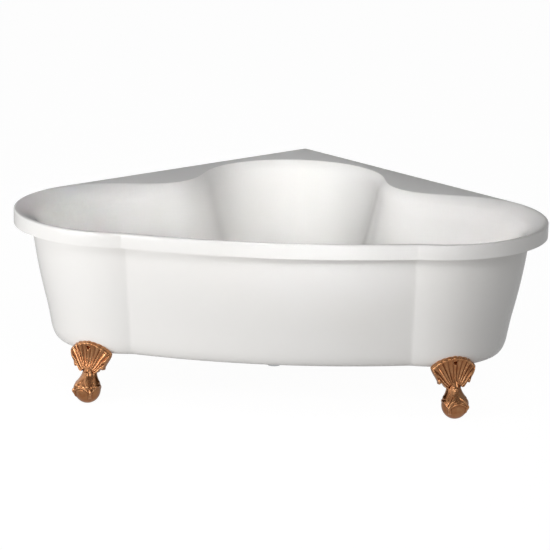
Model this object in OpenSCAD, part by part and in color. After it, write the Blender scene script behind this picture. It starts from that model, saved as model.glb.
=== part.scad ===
// Acrylic corner bathtub on three claw feet, in millimetres.
// X runs to the right, Y to the back corner and Z up. The origin is on the floor, under the
// middle of the tub's bounding box.

/* [Plan] */
// Length of each straight wall side, to the sharp rear corner
wall_side = 1400; // [1380:5:1420]
// Radius of the rounded lobe at each end
lobe_r = 365; // [355:1:375]
// How far the bowed front stands ahead of the lobe centres
bow_out = 418; // [412:1:424]
// Radius of the bowed front
bow_r = 1887; // [1800:10:2000]
// Radius of the crease between a lobe and the bow
waist_r = 40; // [30:1:55]
// Radius of the rear corner of the rim
corner_r = 12; // [8:1:16]

/* [Heights] */
// Height of the rim above the floor
rim_h = 575; // [560:5:590]
// Height of the skirt's underside above the floor
skirt_z = 155; // [150:1:160]
// Height of the drop lip
lip_h = 46; // [42:1:50]

/* [Well] */
// Width of the flat rim between the lip and the well
rim_w = 10; // [9:0.5:14]
// Distance from the sharp rear corner to the opening
rear_deck = 198; // [190:1:206]
// Radius of the opening's rear lobe
rear_lobe_r = 307; // [300:1:312]
// Radius of the concave turn between the rear lobe and a deck edge
turn_r = 183; // [170:1:195]
// Angle where a lobe passes into its shoulder
shoulder_a = 42; // [40:0.5:44]
// Radius of the shoulder
shoulder_r = 238; // [230:1:246]
// Angle where the shoulder passes into the deck edge
deck_a = 68.3; // [67:0.1:70]
// Radius of the deck edge of the opening
deck_r = 405; // [395:1:415]
// Height of the flare from the rim into the well
flare_h = 60; // [55:1:62]
// Width of the flare at the rear lobe
flare_rear = 25; // [22:1:28]
// Width of the flare at the ends
flare_end = 72; // [70:1:80]
// Width of the flare at the front
flare_front = 100; // [96:1:104]
// How far the foot of the rear wall lies inside the opening
foot_rear_in = 85; // [80:1:90]
// How far the foot of an end wall lies inside the opening
foot_end_in = 180; // [170:1:190]
// How far the foot of the front wall lies inside the opening
foot_front_in = 180; // [175:1:188]
// Width of the round between the walls and the floor of the well
round_w = 45; // [40:1:50]
// Height of the round between the walls and the floor of the well
round_h = 55; // [50:1:60]

/* [Skirt] */
// How far the top of the skirt stands back from the rim
overhang = 56; // [54:1:60]
// How much the skirt tapers in towards its foot
taper = 55; // [50:1:60]
// How far the skirt bulges over a straight taper
belly = 6; // [2:1:10]
// Width of the skirt's rounded bottom edge
edge_in = 35; // [30:1:40]
// Height of the skirt's rounded bottom edge
edge_up = 87; // [80:1:92]
// Width of the flange turned in under the skirt
return_w = 25; // [20:1:30]
// Radius of the skirt round the rear corner, taken at the rim
rear_skirt_r = 290; // [280:2:300]

/* [Walls] */
// Thickness of the acrylic basin
acrylic_t = 5; // [4:0.5:6]
// Thickness of the skirt
skirt_t = 4; // [3:0.5:5]
// Thickness of the glass-fibre backing
backing_t = 3; // [2:0.5:4]
// Thickness of the boards under the decks and the floor
board_t = 12; // [9:1:15]
// Width of the batten ring inside the lip
batten_w = 44; // [38:1:44]

/* [Feet] */
// Direction of each front foot, outwards from straight ahead
foot_a = 22; // [18:1:26]
// Radius of the ball
ball_r = 43; // [40:1:45]
// Radius of the flat that the ball stands on
ball_flat_r = 10; // [8:1:14]
// Width across the top of the fan
fan_w = 150; // [140:2:160]
// Width of the neck
neck_w = 48; // [42:1:52]
// Height of the neck above the floor
neck_z = 97; // [94:1:100]
// Height of the fan's top edge above the skirt's underside
fan_up = 41; // [38:1:44]
// Number of ribs on the fan
fan_ribs = 13; // [9:2:15]
// Height of a rib
rib_h = 5; // [3:0.5:6]
// Thickness of the fan under its ribs
fan_t = 9; // [7:0.5:11]
// Angle from the middle of the fan to its lowest side lobes
fan_end_a = 56; // [50:1:60]
// Thickness of the web between the toes
web_t = 2.5; // [1.5:0.5:3.5]

/* [Fasteners] */
// Diameter of the studs that hold the feet
stud_d = 10; // [8:1:12]
// Diameter of the screws through the fans
fan_screw_d = 5; // [4:0.5:6]
// Diameter of the wood screws
wood_screw_d = 4; // [3:0.5:5]
// Clearance added to a screw hole's diameter
hole_fit = 1; // [0.5:0.1:1.5]
// Gap between parts that lie against each other
seat_gap = 0.3; // [0.2:0.05:0.4]

/* [Waste] */
// Distance from the front edge of the flat floor to the waste
waste_back = 60; // [52:1:80]
// Radius of the waste hole in the basin
waste_hole_r = 26; // [24:0.5:28]
// Radius of the waste flange
flange_r = 35; // [33:1:38]
// Outer radius of the tailpiece
tail_r = 20; // [19:0.25:21]
// Height of the tailpiece's lower end above the floor
tail_z = 112; // [106:1:118]
// Height of the overflow pipe under the basin
inlet_z = 175; // [173:0.5:177]
// Outer radius of the overflow pipe
pipe_r = 16; // [15:0.25:16.5]
// Wall thickness of the pipes
pipe_t = 2; // [1.5:0.25:2.5]
// How far the plug lifts
plug_lift = 10; // [8:0.5:12]

/* [Overflow] */
// Depth of the overflow's centre below the rim
overflow_down = 105; // [98:1:112]
// Radius of the overflow plate
plate_r = 36; // [34:1:38]
// Radius of the knob
knob_r = 26; // [24:0.5:28]
// Radius of the knob's axle
axle_r = 4; // [3:0.25:5]
// Running clearance round an axle or a stem
run_fit = 0.3; // [0.2:0.05:0.4]

/* [Hidden] */
$fn = 48;

// Plan of the rim
lobe_x = (wall_side - 2 * lobe_r) / sqrt(2);
corner_cut = corner_r * (sqrt(2) - 1);
lobe_y = (bow_out - lobe_x - lobe_r * sqrt(2) + corner_cut) / 2;
rear_y = lobe_y + lobe_x + lobe_r * sqrt(2);
front_y = lobe_y - bow_out;
lobe_c = [lobe_x, lobe_y];
bow_c = [0, front_y + bow_r];
rear_c = [0, rear_y - rear_skirt_r * sqrt(2)];
well_c = [0, rear_y - rear_deck - rear_lobe_r];

// Steps along the stretches of an outline
ARC = 5;
TURN = 4;
DECK = 3;
SHOULDER = 3;
LOBE = 16;
BOW = 6;

function dir(a) = [cos(a), sin(a)];
function smooth(s) = let (t = min(1, max(0, s))) t * t * (3 - 2 * t);
function arc(c, r, a0, a1, n, first = 0) =
  [for (i = [first:n]) c + r * dir(a0 + (a1 - a0) * i / n)];
function angle_of(v) = atan2(v[1], v[0]);
// The point at r0 from c0 and r1 from c1, on the right of the way from c0 to c1 where side is 1
function meet(c0, r0, c1, r1, side) =
  let (d = norm(c1 - c0), e = (c1 - c0) / d, a = (r0 * r0 - r1 * r1 + d * d) / (2 * d))
  c0 + a * e + side * sqrt(r0 * r0 - a * a) * [e[1], -e[0]];
// A half outline, from the back to the front on the right, with its mirror image on the left
function whole(half) =
  concat(half, [for (i = [len(half) - 2:-1:1]) [-half[i][0], half[i][1]]]);
function at_z(points, z) = [for (p = points) [p[0], p[1], z]];

// Centre of the crease between lobe and bow, on an outline set in from the rim
function waist_c(inset, bow_inset) =
  meet(lobe_c, lobe_r - inset + waist_r, bow_c, bow_r - bow_inset + waist_r, -1);
function waist_a(inset, bow_inset) = angle_of(waist_c(inset, bow_inset) - lobe_c);

// Plan outline set in from the rim, with its rear corner rounded to rear_r at the rim
function plan(inset, bow_inset, rear_r) =
  let (w = waist_c(inset, bow_inset))
  whole(concat(
    arc([0, rear_y - rear_r * sqrt(2)], rear_r - inset, 90, 45, ARC),
    arc(lobe_c, lobe_r - inset, 45, waist_a(inset, bow_inset), LOBE),
    arc(w, waist_r, angle_of(lobe_c - w), angle_of(bow_c - w), 2, 1),
    arc(bow_c, bow_r - bow_inset, angle_of(w - bow_c), -90, BOW, 1)));

// Half outline of the opening: points and the directions that point out of the well
function stretch(c, r, a0, a1, n, first = 1, out = 1) =
  [for (i = [first:n]) let (d = dir(a0 + (a1 - a0) * i / n)) [c + r * d, out * d]];
shoulder_c = lobe_c + (lobe_r - rim_w - shoulder_r) * dir(shoulder_a);
deck_c = shoulder_c + (shoulder_r - deck_r) * dir(deck_a);
turn_c = meet(deck_c, deck_r + turn_r, well_c, rear_lobe_r + turn_r, 1);
turn_a0 = angle_of(turn_c - well_c);
turn_a1 = angle_of(turn_c - deck_c);
waist0 = waist_c(0, 0);
OPENING = concat(
  stretch(well_c, rear_lobe_r, 90, turn_a0, ARC, 0),
  stretch(turn_c, turn_r, turn_a0 + 180, turn_a1 + 180, TURN, 1, -1),
  stretch(deck_c, deck_r, turn_a1, deck_a, DECK),
  stretch(shoulder_c, shoulder_r, deck_a, shoulder_a, SHOULDER),
  stretch(lobe_c, lobe_r - rim_w, shoulder_a, waist_a(0, 0), LOBE),
  stretch(waist0, waist_r + rim_w, angle_of(lobe_c - waist0), angle_of(bow_c - waist0), 2, 1, -1),
  stretch(bow_c, bow_r - rim_w, angle_of(waist0 - bow_c), -90, BOW));

// Outline inside the opening by the given widths at the rear, the ends and the front
blend_0 = lobe_x / 2;
blend_1 = lobe_x + 4 / 5 * lobe_r;
function width_at(p, rear, end, front) =
  let (s = smooth((abs(p[0]) - blend_0) / (blend_1 - blend_0)))
  s * end + (1 - s) * (p[1] > lobe_y ? rear : front);
function inside(rear, end, front) =
  whole([for (s = OPENING) s[0] - width_at(s[0], rear, end, front) * s[1]]);

// Outline of the rim set in by inset, with one point for each point of the opening
wall_end = (OPENING[ARC][0] - [0, rear_y]) * [1, -1] / sqrt(2);
function on_wall(w, inset) = [0, rear_y] + w * dir(-45) - inset * dir(45);
function rim_point(i, inset) =
  let (p = OPENING[i][0], a = angle_of(p - lobe_c))
  i <= 2 ? [0, rear_y - corner_r * sqrt(2)] + (corner_r - inset) * dir(90 - 22.5 * i) :
  i <= ARC ? on_wall(corner_r + (wall_end - corner_r) * (i - 2) / (ARC - 2), inset) :
  a > 45 ? on_wall((p - [0, rear_y]) * [1, -1] / sqrt(2), inset) :
  i < ARC + TURN + DECK + SHOULDER ? lobe_c + (lobe_r - inset) * dir(a) :
  p + (rim_w - inset) * OPENING[i][1];
function rim(inset) = whole([for (i = [0:len(OPENING) - 1]) rim_point(i, inset)]);

// Heights in the stack under the well
plate_t = 6;
tube = 25;
lug_top = skirt_z - 1;
tube_z = lug_top + plate_t;
board_z = tube_z + tube;
floor_z = board_z + board_t + backing_t + 2 * seat_gap + acrylic_t;
lip_z = rim_h - lip_h;
rim_edge = 6;

// A solid from rings of points, each with as many points as the next: a closed loop of rings,
// or a skin closed by a point at each end
module loop(rings) {
  n = len(rings[0]);
  m = len(rings);
  polyhedron(
    points = [for (r = rings) for (p = r) p],
    faces = [for (j = [0:m - 1]) for (i = [0:n - 1])
      let (k = (i + 1) % n, up = (j + 1) % m)
      each [[j * n + i, j * n + k, up * n + k], [j * n + i, up * n + k, up * n + i]]]);
}
module shell(first, rings, last) {
  n = len(rings[0]);
  m = len(rings);
  top = m * n + 1;
  polyhedron(
    points = concat([for (r = rings) for (p = r) p], [first, last]),
    faces = concat(
      [for (i = [0:n - 1]) [m * n, (i + 1) % n, i]],
      [for (j = [0:m - 2]) for (i = [0:n - 1])
        let (k = (i + 1) % n, a = j * n + i, b = j * n + k, c = b + n, d = a + n)
        each rings[j + 1][0][2] < rings[j][0][2] ? [[a, b, d], [b, c, d]] : [[a, b, c], [a, c, d]]],
      [for (i = [0:n - 1]) [(m - 1) * n + i, (m - 1) * n + (i + 1) % n, top]]));
}

// Rings of the well, grown outwards and down by t
function between(a, b, s) = [for (i = [0:len(a) - 1]) a[i] + s * (b[i] - a[i])];
function flare_ring(t, a) = at_z(
  between(inside(0, 0, 0), inside(flare_rear - t, flare_end - t, flare_front - t), sin(a)),
  rim_h - t - (flare_h - t) * (1 - cos(a)));
function round_ring(t, a) =
  let (w = (round_w + t) * (1 - cos(a)) - t)
  at_z(inside(foot_rear_in + w, foot_end_in + w, foot_front_in + w),
    floor_z - t + (round_h + t) * (1 - sin(a)));

module basin_body() {
  t = acrylic_t;
  shell([0, lobe_y, floor_z - t], concat(
    [for (a = [90, 45, 0]) round_ring(t, a)],
    [for (a = [90, 60, 30, 0]) flare_ring(t, a)],
    [at_z(rim(t), rim_h - t), at_z(rim(t), lip_z), at_z(rim(0), lip_z)],
    [for (a = [0, 45, 90]) at_z(rim(rim_edge * (1 - cos(a))), rim_h - rim_edge * (1 - sin(a)))],
    [for (a = [0, 15, 30, 50, 70, 90]) flare_ring(0, a)],
    [for (a = [0, 30, 60, 90]) round_ring(0, a)]), [0, lobe_y, floor_z]);
}

// Front wall of the well, where the overflow is, and the seat of the waste in the floor
flare_z = rim_h - flare_h;
wall_tilt = atan((foot_front_in - flare_front) / (flare_z - floor_z - round_h));
overflow_z = rim_h - overflow_down;
overflow_y = front_y + rim_w + flare_front + (flare_z - overflow_z) * tan(wall_tilt);
drain_y = front_y + rim_w + foot_front_in + round_w + waste_back;
module at_overflow() translate([0, overflow_y, overflow_z]) rotate([wall_tilt - 90, 0, 0]) children();
module at_drain(z) translate([0, drain_y, z]) children();

module basin() color("white") difference() {
  basin_body();
  at_drain(floor_z - 2 * acrylic_t) cylinder(r = waste_hole_r, h = 3 * acrylic_t);
  at_overflow() translate([0, 0, -3 * acrylic_t]) cylinder(r = cup_r + seat_gap, h = 4 * acrylic_t);
  at_overflow() cylinder(r = plate_r + 1, h = acrylic_t);
}

module laminate_backing() color("tan") difference() {
  t0 = acrylic_t + seat_gap;
  t1 = t0 + backing_t;
  shell([0, lobe_y, floor_z - t1], concat(
    [for (a = [90, 45, 0]) round_ring(t1, a)],
    [for (a = [90, 60]) flare_ring(t1, a)],
    [for (a = [60, 90]) flare_ring(t0, a)],
    [for (a = [0, 45, 90]) round_ring(t0, a)]), [0, lobe_y, floor_z - t0]);
  at_drain(floor_z - 2 * t1) cylinder(r = flange_r + 6, h = 3 * t1);
  at_overflow() rotate(20) translate([0, 0, -3 * t1]) cylinder(r = plate_r + 16, h = 4 * t1);
}

// Skirt: how far it stands in from the rim at a height, and its rings
edge_z = skirt_z + edge_up;
edge_d = overhang + taper;
foot_d = edge_d + edge_in;
flange_z = lip_z + 4;
flange_d = 12;
bow_tuck = 3;
function skirt_d(z) =
  let (t = (lip_z - z) / (lip_z - edge_z))
  z > edge_z ? overhang + taper * t + 4 * belly * t * (t - 1) :
  foot_d - edge_in * sqrt(1 - pow((edge_z - z) / edge_up, 2));
function skirt_ring(d, z) =
  at_z(plan(d, d + bow_tuck * max(0, d - overhang) / (taper + edge_in), rear_skirt_r), z);
module skirt_body() {
  rise = lip_z - edge_z;
  loop(concat(
    [skirt_ring(foot_d + return_w, skirt_z)],
    [for (a = [0, 22, 45, 67, 90]) skirt_ring(foot_d - edge_in * sin(a), edge_z - edge_up * cos(a))],
    [for (i = [1:4]) skirt_ring(skirt_d(edge_z + rise * i / 4), edge_z + rise * i / 4)],
    [skirt_ring(overhang, flange_z), skirt_ring(flange_d, flange_z)],
    [skirt_ring(flange_d, flange_z + skirt_t), skirt_ring(overhang + skirt_t, flange_z + skirt_t)],
    [for (i = [1, 0]) skirt_ring(skirt_d(edge_z + rise * i / 2) + skirt_t, edge_z + rise * i / 2)],
    [for (a = [67, 45, 22, 0])
      skirt_ring(foot_d - (edge_in - skirt_t) * sin(a), edge_z - (edge_up - skirt_t) * cos(a))],
    [skirt_ring(foot_d + return_w, skirt_z + skirt_t)]));
}

// The three feet: on each lobe's axis, with X pointing out through the foot
module at_right_foot() translate(lobe_c) rotate(foot_a - 90) children();
module at_left_foot() translate([-lobe_x, lobe_y]) rotate(-90 - foot_a) children();
module at_rear_foot() translate(rear_c) rotate(90) children();

// Screw points round the flange
screw_path = plan((flange_d + overhang) / 2, (flange_d + overhang) / 2, rear_skirt_r);
SCREWS = [for (i = [2:5:len(screw_path) - 1]) screw_path[i]];
module at_screws(z) for (p = SCREWS) translate([p[0], p[1], z]) children();

module outer_skirt() color("white") difference() {
  skirt_body();
  at_screws(flange_z - 1) cylinder(d = wood_screw_d + hole_fit, h = skirt_t + 2);
  at_right_foot() at_fan_screw(lobe_r) fan_screw_hole();
  at_left_foot() at_fan_screw(lobe_r) fan_screw_hole();
  at_rear_foot() at_fan_screw(rear_skirt_r) fan_screw_hole();
}

batten_z = flange_z + skirt_t;
module rim_battens() color("burlywood") difference() {
  translate([0, 0, batten_z]) linear_extrude(board_t) difference() {
    polygon(rim(acrylic_t + seat_gap));
    polygon(plan(acrylic_t + batten_w, acrylic_t + batten_w, acrylic_t + batten_w + corner_r));
  }
  at_screws(batten_z - 1) cylinder(d = wood_screw_d, h = screw_bite + 1);
}
screw_bite = 8;
wood_head_h = 2;
// A wood screw driven upwards from the face under its head
module wood_screw(grip) {
  cylinder(d = wood_screw_d, h = grip + screw_bite);
  translate([0, 0, -wood_head_h]) cylinder(d = 2 * wood_screw_d, h = wood_head_h);
}
module skirt_screws() color("silver") at_screws(flange_z) wood_screw(skirt_t);

deck_gap = 50;
module deck_panels() color("burlywood")
  translate([0, 0, rim_h - acrylic_t - seat_gap - board_t]) linear_extrude(board_t) difference() {
    polygon(rim(acrylic_t + seat_gap));
    polygon(whole([for (s = OPENING) s[0] + deck_gap * s[1]]));
  }

board_in = round_w + acrylic_t;
waste_room = flange_r + 15;
module base_board() color("burlywood") difference() {
  translate([0, 0, board_z]) linear_extrude(board_t) difference() {
    polygon(inside(foot_rear_in + board_in, foot_end_in + board_in, foot_front_in + board_in));
    translate([0, drain_y]) circle(r = waste_room);
    translate([-waste_room, drain_y - 2 * foot_front_in]) square([2 * waste_room, 2 * foot_front_in]);
  }
  at_cradle_screws(board_z - 1) cylinder(d = wood_screw_d, h = screw_bite + 1);
}

// Studs of the feet, and the welded frame that joins them under the floor
stud_in = 66;
stud_front = lobe_c + (lobe_r - foot_d - stud_in) * dir(foot_a - 90);
stud_rear = rear_c + [0, rear_skirt_r - foot_d - stud_in];
STUDS = [stud_front, [-stud_front[0], stud_front[1]], stud_rear];
module at_studs(z) for (p = STUDS) translate([p[0], p[1], z]) children();
plate_w = 50;
tube_t = 2.5;
// A tube along X, from its middle
module bar(length) difference() {
  translate([-length / 2, -tube / 2, 0]) cube([length, tube, tube]);
  translate([-length / 2 - 1, tube_t - tube / 2, tube_t])
    cube([length + 2, tube - 2 * tube_t, tube - 2 * tube_t]);
}
weld = 1;
stub = lobe_y - tube / 2 - stud_front[1] - plate_w / 2 + weld;
spine = stud_rear[1] - plate_w / 2 - lobe_y - tube / 2 + weld;
CRADLE_SCREWS = concat(
  [for (x = [-4 / 5, -1 / 3, 1 / 3, 4 / 5]) [x * lobe_x, lobe_y]],
  [for (y = [1 / 4, 3 / 4]) [0, lobe_y + y * spine]]);
module at_cradle_screws(z) for (p = CRADLE_SCREWS) translate([p[0], p[1], z]) children();
module cradle() color("dimgray") difference() {
  union() {
    translate([0, lobe_y, tube_z]) bar(2 * stud_front[0] + tube);
    for (x = [-1, 1]) translate([x * stud_front[0], lobe_y - tube / 2 + weld - stub / 2, tube_z])
      rotate(90) bar(stub);
    translate([0, lobe_y + tube / 2 - weld + spine / 2, tube_z]) rotate(90) bar(spine);
    for (x = [-1, 1]) translate([x * stud_front[0] - plate_w / 2, stud_front[1] - plate_w / 2, lug_top])
      cube([plate_w, plate_w + stub, plate_t]);
    translate([-plate_w / 2, stud_rear[1] - plate_w, lug_top]) cube([plate_w, 1.5 * plate_w, plate_t]);
  }
  at_studs(lug_top - 1) cylinder(d = stud_d + hole_fit, h = plate_t + 2);
  at_cradle_screws(tube_z - 1) cylinder(d = wood_screw_d + hole_fit, h = tube + 2);
}
module cradle_screws() color("silver") at_cradle_screws(tube_z) wood_screw(tube);

// Claw foot. The fan spreads from a root under the neck and leans on the skirt's rounded edge
// with its upper part. Its back runs straight down from there, clear of the skirt.
fan_top = skirt_z + fan_up;
root_down = 27;
root_z = neck_z - root_down;
fan_r1 = fan_top - root_z;
fan_a = asin(fan_w / 2 / fan_r1);
fan_r0 = neck_w / 2 / sin(fan_end_a);
// How much shorter the lowest lobes and the grooves are than the fan's outline
lobe_cut = 0.45;
groove_cut = 0.04;
neck_back = 25;
neck_in = foot_d - neck_back;
contact_up = 18;
neck_front = 18;
ball_out = 15;
dish = 5;
function fan_back(r, z) = r - skirt_d(max(z, skirt_z + contact_up)) + seat_gap;
function fan_front(r, z) =
  let (t = (z - neck_z) / (fan_top - neck_z))
  (r - neck_in + neck_front) * (1 - t) + (fan_back(r, fan_top) + fan_t) * t - dish * sin(180 * t);
// How far the fan reaches from its root at an angle from its middle
function fan_reach(a) =
  let (past = smooth((abs(a) - fan_a) / (fan_end_a - fan_a)))
  abs(a) < fan_a ? fan_r1 : fan_w / 2 / sin(abs(a)) * (1 - lobe_cut * past);
// Point of the fan at u from -1 to 1 across and v from 0 to 1 up, on its back or its front
function fan_point(r, u, v, on_front) =
  let (
    rib = abs(cos(90 * fan_ribs * u)),
    reach = fan_reach(fan_end_a * u) * (1 - groove_cut * (1 - rib)),
    length = fan_r0 + (reach - fan_r0) * v,
    y = length * sin(fan_end_a * u),
    z = root_z + length * cos(fan_end_a * u),
    x = on_front ? fan_front(r, z) + rib_h * rib * sqrt(v) : fan_back(r, z))
  [sqrt(x * x - y * y), y, z];
module slab(front, back) {
  m = len(front);
  n = len(front[0]);
  k = m * n;
  polyhedron(
    points = [for (side = [front, back]) for (row = side) for (p = row) p],
    faces = concat(
      [for (j = [0:m - 2]) for (i = [0:n - 2]) let (a = j * n + i, d = a + n)
        each [[a, d, d + 1], [a, d + 1, a + 1], [k + a, k + d + 1, k + d], [k + a, k + a + 1, k + d + 1]]],
      [for (i = [0:n - 2]) let (t = (m - 1) * n + i)
        each [[i, i + 1, k + i + 1], [i, k + i + 1, k + i], [t + 1, t, k + t], [t + 1, k + t, k + t + 1]]],
      [for (j = [0:m - 2]) let (a = j * n, b = a + n - 1)
        each [[a + n, a, k + a], [a + n, k + a, k + a + n],
              [b, b + n, k + b + n], [b, k + b + n, k + b]]]));
}
module fan(r) {
  us = [for (i = [-fan_ribs:fan_ribs]) i / fan_ribs];
  vs = [for (j = [0:7]) j / 7];
  slab([for (v = vs) [for (u = us) fan_point(r, u, v, true)]],
       [for (v = vs) [for (u = us) fan_point(r, u, v, false)]]);
}

// A tapering round limb through points, with a radius at each
module limb(points, radii, sides = 8) {
  n = len(points);
  function along(i) = points[min(i + 1, n - 1)] - points[max(i - 1, 0)];
  rings = [for (i = [0:n - 1])
    let (t = along(i) / norm(along(i)), a = cross(t, [0, 1, 0.01]), e = a / norm(a), f = cross(t, e))
    [for (k = [0:sides - 1]) points[i] + radii[i] * (cos(360 * k / sides) * e - sin(360 * k / sides) * f)]];
  shell(points[0], rings, points[n - 1]);
}
ball_z = sqrt(ball_r * ball_r - ball_flat_r * ball_flat_r);
// Point on a shell round the ball, at angle a down from the top and b round from straight ahead
function on_ball(x, grow, a, b) =
  [x, 0, ball_z] + (ball_r + grow) * [sin(a) * cos(b), sin(a) * sin(b), cos(a)];
lug_h = 12;
neck_r = 19;
knob_size = 6;
toe_r = 9;
toe_end_r = 3;
TOES = [-38, 38, -140, 140];
web_up = 0.45 * ball_r;
module claw_foot(r) {
  x = r - neck_in + ball_out;
  stud_x = r - foot_d - stud_in;
  difference() {
    union() {
      fan(r);
      translate([x, 0, ball_z]) sphere(r = ball_r);
      translate([x, 0, ball_z]) intersection() {
        sphere(r = ball_r + web_t);
        translate([-2 * ball_r, -2 * ball_r, web_up]) cube([4 * ball_r, 4 * ball_r, 2 * ball_r]);
      }
      limb([[r - neck_in, 0, neck_z + neck_r], [r - neck_in, 0, neck_z],
            [x - ball_out / 3, 0, ball_z + ball_r], [x, 0, ball_z + ball_r / 2]],
           [neck_r - 2, neck_r, neck_r - 2, neck_r + 3], 12);
      translate([r - neck_in + neck_r, 0, neck_z - knob_size / 2]) sphere(r = knob_size);
      for (b = TOES)
        limb([for (a = [12:18:102]) on_ball(x, 1, a, b + (a - 60) / 6 * sign(b))],
             [for (k = [0:5]) toe_r + (toe_end_r - toe_r) * k / 5]);
      translate([stud_x - plate_w / 3, -plate_w / 2, lug_top - lug_h])
        cube([r - neck_in - stud_x + plate_w / 3, plate_w, lug_h]);
    }
    translate([0, -ball_r, -ball_r]) cube([2 * r, 2 * ball_r, ball_r]);
    translate([stud_x, 0, lug_top - lug_h - 1]) cylinder(d = stud_d + hole_fit, h = lug_h + 2);
    at_fan_screw(r) fan_screw_hole();
    at_fan_screw(r) translate([0, 0, head_seat]) cylinder(r = head_r + 1, h = 2 * fan_t + rib_h);
  }
}
module foot_left() color("peru") at_left_foot() claw_foot(lobe_r);
module foot_right() color("peru") at_right_foot() claw_foot(lobe_r);
module foot_rear() color("peru") at_rear_foot() claw_foot(rear_skirt_r);

// Screw through the top of each fan, square to the skirt, with Z pointing outwards
fan_screw_z = skirt_z + 26;
head_seat = 4;
head_r = 5;
head_h = 3;
nut_h = 4;
nut_gap = 1;
screw_slope = (edge_z - fan_screw_z) / edge_up;
screw_tilt = atan(edge_in / edge_up * screw_slope / sqrt(1 - screw_slope * screw_slope));
module at_fan_screw(r)
  translate([r - skirt_d(fan_screw_z), 0, fan_screw_z]) rotate([0, 90 + screw_tilt, 0]) children();
module fan_screw_hole() translate([0, 0, -12]) cylinder(d = fan_screw_d + hole_fit, h = 24);
module fan_screw() {
  translate([0, 0, -skirt_t - nut_h - 2]) cylinder(d = fan_screw_d, h = skirt_t + nut_h + 2 + head_seat);
  translate([0, 0, head_seat]) cylinder(r = head_r, h = head_h);
}
module fan_nut() translate([0, 0, -skirt_t - nut_h - nut_gap]) difference() {
  cylinder(d = 1.8 * fan_screw_d, h = nut_h, $fn = 6);
  translate([0, 0, -1]) cylinder(d = fan_screw_d, h = nut_h + 2);
}
module foot_fixing_screws() color("peru") {
  at_left_foot() at_fan_screw(lobe_r) fan_screw();
  at_right_foot() at_fan_screw(lobe_r) fan_screw();
  at_rear_foot() at_fan_screw(rear_skirt_r) fan_screw();
}
module foot_fixing_nuts() color("silver") {
  at_left_foot() at_fan_screw(lobe_r) fan_nut();
  at_right_foot() at_fan_screw(lobe_r) fan_nut();
  at_rear_foot() at_fan_screw(rear_skirt_r) fan_nut();
}

// Stud, washer and nut over each foot
washer_t = 2;
stud_nut_h = 8;
stud_head_h = 7;
stud_end = 3;
hex_w = 1.7 * stud_d;
module foot_studs() color("silver") at_studs(lug_top - lug_h - stud_head_h) {
  cylinder(d = stud_d, h = stud_head_h + lug_h + plate_t + washer_t + stud_nut_h + stud_end);
  cylinder(d = hex_w, h = stud_head_h, $fn = 6);
}
module foot_washers() color("silver") at_studs(tube_z) difference() {
  cylinder(d = 2 * stud_d, h = washer_t);
  translate([0, 0, -1]) cylinder(d = stud_d, h = washer_t + 2);
}
module foot_nuts() color("silver") at_studs(tube_z + washer_t) difference() {
  cylinder(d = hex_w, h = stud_nut_h, $fn = 6);
  translate([0, 0, -1]) cylinder(d = stud_d, h = stud_nut_h + 2);
}

// Waste in the floor: flange, gasket, body with a side inlet, and tailpiece
flange_t = 2.5;
gasket_t = 3;
throat_r = waste_hole_r - 1.5;
throat_in = throat_r - 3;
stem_r = 4;
hub_r = stem_r + run_fit + 3;
throat_down = acrylic_t + gasket_t + 8;
body_top = floor_z - acrylic_t - gasket_t;
socket_r = pipe_r + 2.5;
nut_r = pipe_r + 5;
nut_w = 16;
thread_fit = 0.1;
cup_floor = inlet_z - socket_r - 3;
inlet_out = 50;
sleeve_h = 14;
spigot_r = tail_r - 1;
module waste_flange() color("gainsboro") difference() {
  union() {
    at_drain(floor_z) cylinder(r1 = flange_r, r2 = flange_r - 1.5, h = flange_t);
    at_drain(floor_z - throat_down) cylinder(r = throat_r, h = throat_down);
  }
  difference() {
    at_drain(floor_z - throat_down - 1) cylinder(r = throat_in, h = throat_down + flange_t + 2);
    at_drain(floor_z - throat_down) {
      cylinder(r = hub_r, h = 6);
      for (a = [0:120:240]) rotate(a + 30) translate([0, -1.5, 0]) cube([throat_in + 1, 3, 6]);
    }
  }
  at_drain(floor_z - throat_down - 1) cylinder(r = stem_r + run_fit, h = throat_down + flange_t + 2);
}
module waste_gasket() color("dimgray") at_drain(body_top) difference() {
  cylinder(r = flange_r - 1, h = gasket_t);
  translate([0, 0, -1]) cylinder(r = throat_r + seat_gap, h = gasket_t + 2);
}
module waste_body() color("dimgray") difference() {
  union() {
    at_drain(body_top - 4) cylinder(r = flange_r - 1, h = 4);
    at_drain(cup_floor) cylinder(r = throat_r + 3.5, h = body_top - cup_floor);
    at_drain(cup_floor - sleeve_h) cylinder(r = tail_r + 3.5, h = sleeve_h + 1);
    at_drain(inlet_z) rotate([90, 0, 0]) cylinder(r = socket_r, h = inlet_out);
  }
  at_drain(floor_z - throat_down) cylinder(r = throat_r, h = throat_down);
  at_drain(cup_floor + 3) cylinder(r = throat_in, h = body_top - cup_floor);
  at_drain(cup_floor - 1) cylinder(r = spigot_r - pipe_t, h = 6);
  at_drain(cup_floor - sleeve_h - 1) cylinder(r = spigot_r, h = sleeve_h + 1);
  at_drain(inlet_z) rotate([90, 0, 0]) cylinder(r = pipe_r - pipe_t, h = inlet_out + 1);
  at_drain(inlet_z) translate([0, -inlet_out - 1, 0]) rotate([-90, 0, 0]) cylinder(r = pipe_r, h = nut_w);
}
module tailpiece() color("gainsboro") at_drain(tail_z) difference() {
  union() {
    cylinder(r = tail_r, h = cup_floor - sleeve_h - tail_z);
    cylinder(r = spigot_r, h = cup_floor - tail_z);
  }
  translate([0, 0, -1]) cylinder(r = spigot_r - pipe_t, h = cup_floor - tail_z + 2);
}

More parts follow.
